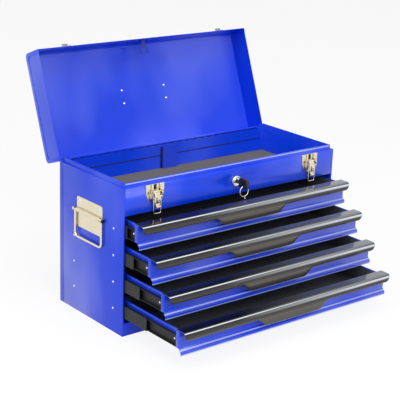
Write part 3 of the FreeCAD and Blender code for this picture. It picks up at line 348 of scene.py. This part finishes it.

# %% [markdown]
# The pulls are drawn aluminium, polished so far that they mirror the dark studio, and that mirror is painted
# into
# their colour: a dark deck, a painted bright highlight along the nose, and a grey-brown face. The painted
# highlight is thin at the left end and wide at the right, and soft darker patches along the bar are painted
# reflection too.
# The tone follows the height above each drawer's lip, which repeats from one drawer to the next.


# %% Painted reflections of the pulls
# Painted reflection ramps by height: dark deck, painted highlight on the nose, grey-brown face.
THIN_GLEAM = [(0.30, (74, 71, 67)), (0.58, (98, 94, 88)), (0.70, (64, 61, 57)), (0.81, (46, 46, 48)),
              (0.845, (52, 54, 58)), (0.855, (236, 240, 245)), (0.87, (236, 240, 245)), (0.88, (14, 15, 18))]
WIDE_GLEAM = [(0.30, (74, 71, 67)), (0.58, (98, 94, 88)), (0.66, (58, 56, 54)), (0.74, (74, 76, 80)),
              (0.775, (228, 232, 238)), (0.83, (228, 232, 238)), (0.85, (30, 32, 38)),
              (0.88, (130, 134, 138))]
WIDENING, MIDDLE_SHARE = 2.6, 0.35


def mirror_pull():
    metal = Finish("mirror_pull")
    coordinates, (x, _, z) = metal.place()
    height = ((z - LOWEST_LIP) * (1 / PITCH_OF_DRAWERS)).fraction()
    ramps = [[(place, rgb(*tone)) for place, tone in gleam] for gleam in (THIN_GLEAM, WIDE_GLEAM)]
    thin, wide = [metal.node("ShaderNodeValToRGB", i0=height, stops=stops) for stops in ramps]
    face = metal.mix(x * WIDENING + MIDDLE_SHARE, thin, wide)
    streak = metal.noise(metal.stretched(coordinates, 0.03, 1, 1), 700.0, 3.0)
    sheen = metal.noise(metal.stretched(coordinates, 1, 0.2, 0.2), 6.0, 1.0)
    # Soft darker patches along the bar are painted reflection.
    colour = metal.mix(sheen * 0.25, face, rgb(40, 40, 42))
    return metal.finish(Base_Color=colour, Metallic=0.45, Roughness=streak * 0.10 + 0.10,
                        Normal=metal.bump(streak, 0.06, 0.0003))


mirror = mirror_pull()
print("five metals mixed")

# %% [markdown]
# ## Mats and moulded plastic
# The drawers are lined with black rubber, finely ribbed so that tools don't slide. The tray has a thicker
# grey-brown felt. The key's head is moulded in black plastic.


# %% Rubber, felt and plastic
RIB_PITCH = 0.005


def ribbed_rubber():
    rubber = Finish("ribbed_rubber")
    coordinates, (_, y, _) = rubber.place()
    ribs = (y * (2 * math.pi / RIB_PITCH)).sine()
    grain = rubber.noise(coordinates, 320.0, 2.0)
    # Long pale streaks on the mat are painted reflections; the fine grain is the rubber's own tone.
    painted_reflection_streak = rubber.noise(rubber.stretched(coordinates, 0.15, 1, 1), 24.0, 2.0)
    colour = rubber.mix(grain * 0.4 + painted_reflection_streak * 0.6, rgb(28, 30, 33), rgb(92, 95, 99))
    return rubber.finish(Base_Color=colour, Roughness=grain * 0.15 + 0.55,
                         Normal=rubber.bump(ribs + grain * 0.6, 0.25, 0.0004))


def felt():
    cloth = Finish("grey_felt")
    coordinates, _ = cloth.place()
    fibre = cloth.noise(cloth.stretched(coordinates, 1, 2.4, 1), 700.0, 4.0, 0.7)
    patch = cloth.noise(coordinates, 9.0, 2.0)
    colour = cloth.mix(fibre * 0.7 + patch * 0.3, rgb(74, 71, 68), rgb(112, 108, 104))
    return cloth.finish(Base_Color=colour, Roughness=0.95, Normal=cloth.bump(fibre, 0.5, 0.0008))


def moulded():
    plastic = Finish("moulded_black")
    coordinates, _ = plastic.place()
    grain = plastic.noise(coordinates, 1500.0, 2.0)
    colour = plastic.mix(grain, rgb(14, 14, 15), rgb(26, 26, 28))
    return plastic.finish(Base_Color=colour, Roughness=grain * 0.1 + 0.42,
                          Normal=plastic.bump(grain, 0.12, 0.0002))


rubber, felt_grey, plastic_black = ribbed_rubber(), felt(), moulded()
print("rubber, felt and plastic mixed")

# %% Dress every piece of the frame
by_slot = {"blue_paint": enamel, "nickel": nickel, "pull_aluminium": mirror, "black_steel": oxide,
           "black_mat": rubber, "grey_mat": felt_grey, "chrome": chrome, "key_black": plastic_black}
for part in frame["record"]["subparts"]:
    piece = nodes[part["node"]]
    piece.data.materials.clear()
    piece.data.materials.append(by_slot[part["material_slot"]])
nodes["latch_catches"].data.materials[0] = grey_nickel
nodes["lid_hasp"].data.materials[0] = blue_enamel("hasp_enamel", (0, 24, 112))

# %% [markdown]
# ## Small parts
# What follows is fitted over the sheet metal: wire bent round, knuckles rolled round, rivets, the latch
# plates with their raised ears, and the spare key. Every helper that makes a shape returns one object.

# %% Sizes that several parts share, in millimetres
HINGE_Y, HINGE_Z, LID_ANGLE = 109, 290, -111
LATCH_X = 194
PLATE_FACE = -111.7
PIVOT_Y, PIVOT_Z = -114.7, 274
BAIL_Y, BAIL_TOP, BAIL_FOOT = -119.5, 266.65, 234
HANDLE_X, HANDLE_AXIS_Z = 266.2, 210.6
LIPS = [184.6, 132.0, 79.4, 26.8]
OUT = [39, 81, 122, 168]
DRAWER_FACE = -116.5

# %% Helpers for small parts
HINGE = Vector((0, HINGE_Y * MM, HINGE_Z * MM))
OPEN_LID = (Matrix.Translation(HINGE) @ Matrix.Rotation(math.radians(LID_ANGLE), 4, "X")
            @ Matrix.Translation(-HINGE))


def settle(piece, name, finish, body, smooth=30):
    """Name a finished piece, bake its transform, give it a finish and hang it on its body."""
    pick(piece)
    bpy.ops.object.transform_apply(location=True, rotation=True, scale=True)
    bpy.ops.object.mode_set(mode="EDIT")
    bpy.ops.mesh.select_all(action="SELECT")
    bpy.ops.mesh.normals_make_consistent(inside=False)
    bpy.ops.object.mode_set(mode="OBJECT")
    bpy.ops.object.shade_smooth_by_angle(angle=math.radians(smooth))
    piece.name = name
    piece.data.name = name
    piece.data.materials.clear()
    piece.data.materials.append(finish)
    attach(piece, body)
    return piece


def join(pieces):
    """Merge several meshes into the first."""
    deselect()
    for piece in pieces:
        piece.select_set(True)
    bpy.context.view_layer.objects.active = pieces[0]
    bpy.ops.object.transform_apply(location=True, rotation=True, scale=True)
    if len(pieces) > 1:
        bpy.ops.object.join()
    return pieces[0]


def block(low, high, edge=0.0, segments=2):
    """Box between two corners in millimetres, its edges rounded off."""
    deselect()
    low, high = Vector(low) * MM, Vector(high) * MM
    bpy.ops.mesh.primitive_cube_add(size=1, location=(low + high) / 2, scale=high - low)
    piece = bpy.context.object
    bpy.ops.object.transform_apply(location=True, rotation=True, scale=True)
    if edge:
        bpy.ops.object.modifier_add(type="BEVEL")
        rounding = piece.modifiers[-1]
        rounding.width = edge * MM
        rounding.segments = segments
        bpy.ops.object.modifier_apply(modifier=rounding.name)
    return piece


def round_bar(place, axis, radius, length, sides=24):
    """Cylinder in millimetres along X, Y or Z."""
    deselect()
    turn = {"X": (0, math.pi / 2, 0), "Y": (math.pi / 2, 0, 0), "Z": (0, 0, 0)}[axis]
    bpy.ops.mesh.primitive_cylinder_add(vertices=sides, radius=radius * MM, depth=length * MM,
                                        location=Vector(place) * MM, rotation=turn)
    bpy.ops.object.transform_apply(location=True, rotation=True, scale=True)
    return bpy.context.object


def repeat_along_x(piece, count, pitch):
    pick(piece)
    bpy.ops.object.modifier_add(type="ARRAY")
    row = piece.modifiers[-1]
    row.count = count
    row.use_relative_offset = False
    row.use_constant_offset = True
    row.constant_offset_displace = (pitch * MM, 0, 0)
    bpy.ops.object.modifier_apply(modifier=row.name)
    return piece


def domes(places, axis, radius, height):
    """Rivet heads: one dome modelled, then copied to each place with its own mesh."""
    deselect()
    bpy.ops.mesh.primitive_uv_sphere_add(segments=20, ring_count=10, radius=1, location=(0, 0, 0))
    first = bpy.context.object
    size = [radius * MM] * 3
    size["XYZ".index(axis)] = height * MM
    pieces = []
    for place in places:
        copy = first.copy()
        copy.data = first.data.copy()
        bpy.context.scene.collection.objects.link(copy)
        copy.scale = size
        copy.location = Vector(place) * MM
        pieces.append(copy)
    bpy.data.objects.remove(first)
    return join(pieces)


def bent_wire(corners, radius, closed):
    """Round wire through square corners, each (point, bend radius) in millimetres."""
    steps = 8
    path = []
    count = len(corners)
    for index, (place, bend) in enumerate(corners):
        place = Vector(place)
        if not bend:
            path.append(place)
            continue
        arriving = (place - Vector(corners[index - 1][0])).normalized()
        leaving = (Vector(corners[(index + 1) % count][0]) - place).normalized()
        centre = place + (leaving - arriving) * bend
        for step in range(steps + 1):
            angle = math.radians(90 * step / steps)
            path.append(centre - leaving * (bend * math.cos(angle)) + arriving * (bend * math.sin(angle)))
    curve = bpy.data.curves.new("wire", "CURVE")
    curve.dimensions = "3D"
    curve.bevel_depth = radius * MM
    curve.bevel_resolution = 6
    curve.use_fill_caps = True
    spline = curve.splines.new("POLY")
    spline.points.add(len(path) - 1)
    for point, place in zip(spline.points, path):
        point.co = (*(place * MM), 1)
    spline.use_cyclic_u = closed
    piece = bpy.data.objects.new("wire", curve)
    bpy.context.scene.collection.objects.link(piece)
    pick(piece)
    bpy.ops.object.convert(target="MESH")
    return bpy.context.object


print("helpers ready")

# %% Wire handles and bails
SIDES = (("left", -1), ("right", 1))
HANDLE_HALF, HANDLE_TOP, HANDLE_FOOT = 44.3, 211, 157
BAIL_HALF, BAIL_END = 8.2, 11.2
HANDLE_WIRE, BAIL_WIRE, TOP_WIRE = 2.4, 1.0, 3.0
TOP_AXIS_Z, TOP_HALF, TOP_END, TOP_LEG = 342.8, 68.6, 48, 33.6
for side, sense in SIDES:
    x = sense * HANDLE_X
    corners = [((x, -HANDLE_HALF, HANDLE_TOP), 4), ((x, -HANDLE_HALF, HANDLE_FOOT), 9),
               ((x, HANDLE_HALF, HANDLE_FOOT), 9), ((x, HANDLE_HALF, HANDLE_TOP), 4)]
    piece = bent_wire(corners, HANDLE_WIRE, True)
    settle(piece, "wire_handle_" + side, nickel, "handle_" + side, 60)
    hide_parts("side_handle_" + side)
    centre = sense * LATCH_X
    half = [(-BAIL_END, BAIL_TOP, 0), (-BAIL_HALF, BAIL_TOP, 1.6), (-BAIL_HALF, BAIL_FOOT, 3)]
    outline = half + [(-across, height, bend) for across, height, bend in reversed(half)]
    corners = [((centre + across, BAIL_Y, height), bend) for across, height, bend in outline]
    piece = bent_wire(corners, BAIL_WIRE, False)
    settle(piece, "wire_bail_" + side, nickel, "bail_" + side, 60)
    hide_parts("latch_bail_" + side)
top_axis = OPEN_LID @ Vector((0, 0, TOP_AXIS_Z * MM))
y, z = top_axis.y / MM, top_axis.z / MM
corners = [((-TOP_END, y, z), 0), ((-TOP_HALF, y, z), 7), ((-TOP_HALF, y, z - TOP_LEG), 7),
           ((TOP_HALF, y, z - TOP_LEG), 7), ((TOP_HALF, y, z), 7), ((TOP_END, y, z), 0)]
piece = bent_wire(corners, TOP_WIRE, False)
settle(piece, "wire_top_handle", nickel, "top_handle", 60)
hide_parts("top_handle")
print("five bent wires")

# %% [markdown]
# ### Continuous hinge
# Forty-nine knuckles of 9.9 mm take turns: the cabinet leaf has the odd ones, the lid leaf the even ones.
# It is painted with the box. Below each knuckle of the lid a thin black strip on the cabinet's leaf is
# painted shade. Two black strips along the tray's back wall are painted shade, and a third is the painted
# shadow beside the channel of the lock bar.

# %% Hinge leaves with rolled knuckles
KNUCKLE, PITCH_X = 9.6, 9.9
ODD_KNUCKLES, EVEN_KNUCKLES, MIDDLE_KNUCKLE = 25, 24, 24
HALF_SHEET, HALF_ROW, SHADE_INSET = 0.5, 24.5 * PITCH_X, 0.8


def hinge_leaf(first, count, low, high):
    """A leaf between two heights, its tongues and knuckles starting at knuckle number first."""
    start = (first - MIDDLE_KNUCKLE) * PITCH_X
    near, far = HINGE_Y - HALF_SHEET, HINGE_Y + HALF_SHEET
    rolled = repeat_along_x(round_bar((start, HINGE_Y, HINGE_Z), "X", 2.2, KNUCKLE), count, 2 * PITCH_X)
    tongue_low, tongue_high = (high, HINGE_Z) if high < HINGE_Z else (HINGE_Z, low)
    left = start - KNUCKLE / 2
    tongue = block((left, near, tongue_low), (left + KNUCKLE, far, tongue_high))
    tongue = repeat_along_x(tongue, count, 2 * PITCH_X)
    sheet = block((-HALF_ROW, near, low), (HALF_ROW, far, high))
    return join([sheet, tongue, rolled])


piece = hinge_leaf(0, ODD_KNUCKLES, 274, 287.4)
settle(piece, "hinge_cabinet_leaf", enamel, "cabinet")
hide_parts("hinge_leaf_lower")
piece = hinge_leaf(1, EVEN_KNUCKLES, 292.6, 306)
piece.data.transform(OPEN_LID)
settle(piece, "hinge_lid_leaf", enamel, "lid")
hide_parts("hinge_leaf_upper")
# A black strip below each knuckle of the lid: painted shade.
shade_mark = block((-23.5 * PITCH_X + SHADE_INSET, 106.2, 285.2),
                  (-22.5 * PITCH_X - SHADE_INSET, 107.4, 288.0), 0.3)
piece = repeat_along_x(shade_mark, EVEN_KNUCKLES, 2 * PITCH_X)
settle(piece, "hinge_painted_shade", oxide, "cabinet")
# Black strips on the tray's back wall and beside the lock bar's channel: painted shade.
shade_strips = [block((-249, 101.0, 265.4), (-21, 101.8, 267.2), 0.2),
         block((15, 101.0, 265.4), (249, 101.8, 267.2), 0.2),
         block((-22.6, 97.0, 239), (-20.4, 101.7, 284), 0.2)]
settle(join(shade_strips), "tray_back_painted_shade", oxide, "cabinet")
print("hinge has", ODD_KNUCKLES + EVEN_KNUCKLES, "knuckles")

# %% [markdown]
# ### Rivets
# Each outer slide is held by two rivets through the cabinet's side, each handle plate by four, and each
# saddle of the top handle by two that show inside the lid. Two pale rivets a side join each drawer to its
# runners.

# %% Rivets by body
SIDE_FACE, HANDLE_PLATE_FACE, RUNNER_FACE = 262, 263.2, 252
SLIDE_RIVET, PLATE_RIVET, SADDLE_RIVET = (2.3, 0.9), (2.2, 0.8), (2.4, 0.8)
places = [(sense * SIDE_FACE, row, lip + 21) for sense in (-1, 1) for lip in LIPS for row in (-78.4, 55)]
piece = domes(places, "X", *SLIDE_RIVET)
settle(piece, "slide_rivets", chrome, "cabinet", 60)
places = [(sense * HANDLE_PLATE_FACE, row, height)
          for sense in (-1, 1) for row in (-32, 32) for height in (228.5, 185)]
piece = domes(places, "X", *PLATE_RIVET)
settle(piece, "handle_plate_rivets", nickel, "cabinet", 60)
places = [(x, row, height) for x in (-54, 54) for row in (-13.7, 13.7) for height in (338.3, 340.5)]
piece = domes(places, "Z", *SADDLE_RIVET)
piece.data.transform(OPEN_LID)
settle(piece, "saddle_rivets", chrome, "lid", 60)
for number, (lip, out) in enumerate(zip(LIPS, OUT), start=1):
    places = [(sense * RUNNER_FACE, row - out, lip + 23) for sense in (-1, 1) for row in (-89, 20)]
    piece = domes(places, "X", *SLIDE_RIVET)
    settle(piece, "runner_rivets_%d" % number, chrome, "drawer_%d" % number, 60)
print("rivets set")

# %% [markdown]
# ### Latches
# A latch's base plate has two raised ears, tapers to its foot and carries two cheeks, with dark notches
# between them. The lever is a folded strap on a pin; two dark slots and a bit of the bail's spring show on
# its face.


# %% Latch plates and levers
PLATE_HALF, PLATE_BACK, PLATE_FOOT, PLATE_WAIST, PLATE_TOP = 20.5, -110.5, 252, 270.5, 288.5
NOTCH_FACE, NOTCH_BACK = -111.76, -111.5
CHEEK_IN, CHEEK_OUT, EAR_IN = 9.8, 11, 11.2
LEVER_HALF, NECK_HALF = 6.5, 4.6


def tapered_foot(centre):
    """Lower part of a base plate, half as wide at its foot as at its waist."""
    piece = block((centre - PLATE_HALF, PLATE_FACE, PLATE_FOOT),
                  (centre + PLATE_HALF, PLATE_BACK, PLATE_WAIST))
    bpy.ops.object.mode_set(mode="EDIT")
    bpy.ops.mesh.select_all(action="DESELECT")
    bpy.ops.object.mode_set(mode="OBJECT")
    for vertex in piece.data.vertices:
        if vertex.co.z < (PLATE_FOOT + PLATE_WAIST) / 2 * MM:
            vertex.select = True
    bpy.ops.object.mode_set(mode="EDIT")
    bpy.ops.transform.resize(value=(0.5, 1, 1), center_override=(centre * MM, -111 * MM, PLATE_FOOT * MM))
    bpy.ops.object.mode_set(mode="OBJECT")
    return piece


plates = []
for centre in (-LATCH_X, LATCH_X):
    plates.append(block((centre - PLATE_HALF, PLATE_FACE, PLATE_WAIST),
                        (centre + PLATE_HALF, PLATE_BACK, PLATE_TOP)))
    plates.append(tapered_foot(centre))
    for end in (-1, 1):
        inner, outer = sorted((centre + end * EAR_IN, centre + end * PLATE_HALF))
        plates.append(block((inner, -113.2, 271), (outer, -111.2, 288.3), 1.0, 3))
        inner, outer = sorted((centre + end * CHEEK_IN, centre + end * CHEEK_OUT))
        plates.append(block((inner, -122, 262), (outer, PLATE_FACE, 279), 0.4))
piece = join(plates)
settle(piece, "latch_plates", nickel, "cabinet")
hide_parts("latch_bases")
notches = []
for centre in (-LATCH_X, LATCH_X):
    notches.append(block((centre - 3.4, NOTCH_FACE, 277.5), (centre + 3.4, NOTCH_BACK, 288), 0.3))
    for end in (-1, 1):
        inner, outer = sorted((centre + end * 8.2, centre + end * CHEEK_IN))
        notches.append(block((inner, NOTCH_FACE, 262), (outer, NOTCH_BACK, 288), 0.3))
settle(join(notches), "latch_notches", oxide, "cabinet")
places = [(centre + end * 16, -113.1, 274) for centre in (-LATCH_X, LATCH_X) for end in (-1, 1)]
piece = domes(places, "Y", 1.8, 0.6)
settle(piece, "latch_rivets", oxide, "cabinet", 60)
for side, sense in SIDES:
    centre = sense * LATCH_X
    barrel = round_bar((centre, PIVOT_Y, PIVOT_Z), "X", 2.5, 2 * LEVER_HALF)
    pin = round_bar((centre, PIVOT_Y, PIVOT_Z), "X", 1.15, 22.4)
    shoulder = block((centre - LEVER_HALF, -120.9, 266), (centre + LEVER_HALF, -114.8, 273.6), 1.6, 4)
    strap = block((centre - LEVER_HALF, -121.5, 252), (centre + LEVER_HALF, -119.9, 268), 0.5)
    neck = block((centre - NECK_HALF, -122.4, 247.5), (centre + NECK_HALF, -120.6, 253), 0.6)
    curl = round_bar((centre, -123.4, 247.0), "X", 2.0, 2 * NECK_HALF)
    piece = join([barrel, pin, shoulder, strap, neck, curl])
    settle(piece, "folded_lever_" + side, nickel, "lever_" + side, 50)
    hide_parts("latch_lever_" + side)
    slots = [block((centre - 3.8, -121.85, 253.6), (centre - 0.8, -121.2, 264.5), 0.3),
             block((centre + 1.2, -121.85, 253.6), (centre + 3.8, -121.2, 260.5), 0.3)]
    piece = join(slots)
    settle(piece, "lever_slots_" + side, plastic_black, "lever_" + side)
    piece = bent_wire([((centre - 3.4, -122.1, 262.5), 0), ((centre + 3.2, -122.1, 255.5), 0)], 0.7, False)
    settle(piece, "lever_spring_" + side, chrome, "lever_" + side, 60)
print("latches fitted")

# %% [markdown]
# ### Lock and keys
# The lock has a rolled bezel. A round ring hangs from the key in it and carries the spare key, seen edge on.

# %% Lock bezel, ring and spare key
KEY_Y, LOCK_Z = -137.5, 263


def ring(place, radius, wire, segments):
    """Torus in millimetres that faces the front."""
    deselect()
    bpy.ops.mesh.primitive_torus_add(major_radius=radius * MM, minor_radius=wire * MM,
                                     major_segments=segments, minor_segments=16,
                                     location=Vector(place) * MM, rotation=(math.pi / 2, 0, 0))
    return bpy.context.object


ring((0, -113.8, LOCK_Z), 9.0, 1.4, 48)
settle(bpy.context.object, "lock_bezel_roll", chrome, "cabinet", 60)
piece = ring((0, KEY_Y, 248.5), 10.5, 0.8, 64)
settle(piece, "round_key_ring", chrome, "key_ring", 60)
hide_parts("key_ring")
head = round_bar((0, KEY_Y, 234.0), "X", 3.6, 1.6, 32)
blade = block((-0.8, -139.0, 226), (0.8, -136.0, 232), 0.3)
piece = join([head, blade])
settle(piece, "spare_key", chrome, "key_ring")
print("lock and keys fitted")

# %% [markdown]
# ### Side handle plates
# Two oval dimples are stamped near the upper corners of each plate. A black disc at the front end of the wire
# is painted shade inside the barrel's open end; behind, the wire ends in a plated knob, and a dark seam shows
# where the back panel is wrapped round the corner.

# %% Dimples, painted barrel shade, knobs and seams of the sides
DIMPLE_Z, DIMPLE_STRETCH = 227, 1.6
seam_enamel = blue_enamel("seam_enamel", (0, 26, 120))
for side, sense in SIDES:
    dimples = domes([(sense * 263.1, end * 32, DIMPLE_Z) for end in (-1, 1)], "X", 3.2, 0.9)
    for vertex in dimples.data.vertices:
        vertex.co.z = DIMPLE_Z * MM + (vertex.co.z - DIMPLE_Z * MM) * DIMPLE_STRETCH
    settle(dimples, "handle_plate_dimples_" + side, chrome, "cabinet", 60)
    # A black disc in front of the barrel: painted shade inside its open end.
    barrel_shade = round_bar((sense * HANDLE_X, -47.9, HANDLE_AXIS_Z), "Y", 3.7, 3.4)
    settle(barrel_shade, "handle_barrel_shade_" + side, plastic_black, "handle_" + side, 60)
    knob = round_bar((sense * HANDLE_X, 48.2, HANDLE_AXIS_Z), "Y", 3.6, 3.6)
    settle(knob, "handle_knob_" + side, nickel, "handle_" + side, 60)
    near, far = sorted((sense * 261.9, sense * 262.2))
    piece = block((near, 95.6, 3), (far, 97.0, 294), 0.1)
    settle(piece, "corner_seam_" + side, seam_enamel, "cabinet")
print("handle plates stamped")

# %% [markdown]
# ## Pulls
# A pull is one drawn section: a deck over the drawer's front, a bull nose and a lip that hangs deeper in
# the middle, where a label would sit. A grid is folded over that section, given its wall, and rounded at
# the ends. One pull is shaped and the other three are copies, moved down and out with their drawers.

# %% Draw the section of a pull
LABEL_HALF, SLOPE_HALF, PULL_HALF = 66, 90, 258
LABEL_FOOT, SLOPE_RISE, END_TURN, END_RISE = 16.5, 15.0, 10, 8.5
DECK, NOSE_HEIGHT, NOSE_RADIUS, NOSE_STEPS = 47.2, 41.0, 6.2, 8
PULL_WALL = 1.2


def lip_foot(x):
    """Height of the lip's lower edge above the drawer's own lip, in millimetres."""
    x = abs(x)
    if x < SLOPE_HALF:
        share = min(max((x - LABEL_HALF) / (SLOPE_HALF - LABEL_HALF), 0), 1)
        return LABEL_FOOT + SLOPE_RISE * share * share * (3 - 2 * share)
    turn = max(x - (PULL_HALF - END_TURN), 0) / END_TURN
    return LABEL_FOOT + SLOPE_RISE + END_RISE * (1 - math.sqrt(max(1 - turn * turn, 0)))


def section(x):
    """Places (depth behind the drawer's face, height) down the outside of the pull."""
    foot = lip_foot(x)
    line = [(14.6, 44.6), (14.6, 46.4), (13.6, DECK), (5.0, DECK), (-4.0, DECK)]
    for step in range(1, NOSE_STEPS + 1):
        angle = math.radians(90 * step / NOSE_STEPS)
        line.append((-5.2 - NOSE_RADIUS * math.sin(angle), NOSE_HEIGHT + NOSE_RADIUS * math.cos(angle)))
    line += [(-11.4, foot + (NOSE_HEIGHT - foot) * 0.5), (-11.2, foot + 1.6), (-10.4, foot)]
    return line


def drawn_pull():
    """One pull, with columns of the grid set close where its lip slopes and where its ends turn up."""
    half = [0, 30, 60] + [LABEL_HALF + 3 * step for step in range(9)] + [130, 180, 225, 248]
    half += [PULL_HALF - END_TURN * (1 - math.sin(math.radians(90 * step / 6))) for step in range(1, 7)]
    stations = [-x for x in reversed(half[1:])] + half
    rows = len(section(0))
    deselect()
    bpy.ops.mesh.primitive_grid_add(x_subdivisions=len(stations) - 1, y_subdivisions=rows - 1, size=2)
    piece = bpy.context.object
    for vertex in piece.data.vertices:
        column = round((vertex.co.x + 1) / 2 * (len(stations) - 1))
        row = round((vertex.co.y + 1) / 2 * (rows - 1))
        depth, height = section(stations[column])[row]
        vertex.co = (stations[column] * MM, depth * MM, height * MM)
    bpy.ops.object.mode_set(mode="EDIT")
    bpy.ops.mesh.select_all(action="SELECT")
    bpy.ops.mesh.normals_make_consistent(inside=False)
    bpy.ops.object.mode_set(mode="OBJECT")
    up = sum(face.normal.z for face in piece.data.polygons if face.center.z > (DECK - 0.3) * MM)
    bpy.ops.object.modifier_add(type="SOLIDIFY")
    wall = piece.modifiers[-1]
    wall.thickness = PULL_WALL * MM
    wall.offset = -1 if up > 0 else 1
    bpy.ops.object.modifier_apply(modifier=wall.name)
    return piece


# %% Fit the four pulls
first_pull = drawn_pull()
for number, (lip, out) in enumerate(zip(LIPS, OUT), start=1):
    piece = first_pull.copy()
    piece.data = first_pull.data.copy()
    bpy.context.scene.collection.objects.link(piece)
    piece.location = (0, (DRAWER_FACE - out) * MM, lip * MM)
    settle(piece, "drawn_pull_%d" % number, mirror, "drawer_%d" % number, 35)
    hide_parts("drawer_%d_pull" % number)
bpy.data.objects.remove(first_pull)
print("four pulls fitted")

# %% [markdown]
# ## Drawer liners
# The drawers look black up to their rims, so the rubber liner is turned up along the ends and the back of
# each.

# %% Line the drawers
LINER_HALF, LINER_FRONT, LINER_BACK = 249.2, -107.5, 75.5
SHEET_UNDER, SHEET_OVER, TURNED_FROM, TURNED_TO = 8.5, 10, 9, 41.5
for number, (lip, out) in enumerate(zip(LIPS, OUT), start=1):
    near, far = LINER_FRONT - out, LINER_BACK - out
    sheets = [block((-LINER_HALF, near, lip + SHEET_UNDER), (LINER_HALF, far, lip + SHEET_OVER), 0.3)]
    for end in (-1, 1):
        inner, outer = sorted((end * 248.3, end * 249.3))
        sheets.append(block((inner, near, lip + TURNED_FROM), (outer, far, lip + TURNED_TO), 0.3))
    sheets.append(block((-LINER_HALF, far - 1, lip + TURNED_FROM), (LINER_HALF, far, lip + TURNED_TO), 0.3))
    piece = join(sheets)
    settle(piece, "drawer_liner_%d" % number, rubber, "drawer_%d" % number)
    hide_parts("drawer_%d_mat" % number)
print("four drawers lined")

# %% [markdown]
# ## Edges
# Folded sheet has a small radius along every edge, and that radius is what draws the pale lines in the
# photograph. The painted pieces that show most, and the key, are copied; their flat faces are merged again
# and their edges are rounded.


# %% Round the edges of the folded sheet
EDGE, KEY_EDGE = 0.45, 1.0


def softened(node, finish, body, width):
    """Copy of a CAD node with rounded edges, which stands in for it."""
    source = nodes[node]
    piece = bpy.data.objects.new("soft_" + node, source.data.copy())
    bpy.context.scene.collection.objects.link(piece)
    pick(piece)
    bpy.ops.object.mode_set(mode="EDIT")
    bpy.ops.mesh.select_all(action="SELECT")
    bpy.ops.mesh.remove_doubles(threshold=0.00001)
    bpy.ops.mesh.dissolve_limited(angle_limit=math.radians(1.5))
    bpy.ops.object.mode_set(mode="OBJECT")
    bpy.ops.object.modifier_add(type="BEVEL")
    rounding = piece.modifiers[-1]
    rounding.width = width * MM
    rounding.segments = 2
    rounding.limit_method = "ANGLE"
    rounding.angle_limit = math.radians(40)
    bpy.ops.object.modifier_apply(modifier=rounding.name)
    settle(piece, "soft_" + node, finish, body, 40)
    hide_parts(node)
    return piece


for node in ("front_panel", "base_pan", "tray", "side_panel_left", "side_panel_right"):
    paint = panel_enamel if node == "front_panel" else enamel
    softened(node, paint, "cabinet", EDGE)
for number in range(1, 5):
    softened("drawer_%d_front" % number, front_enamel, "drawer_%d" % number, EDGE)
softened("lid_shell", enamel, "lid", EDGE)
softened("key", plastic_black, "lock_plug", KEY_EDGE)
print("edges rounded")
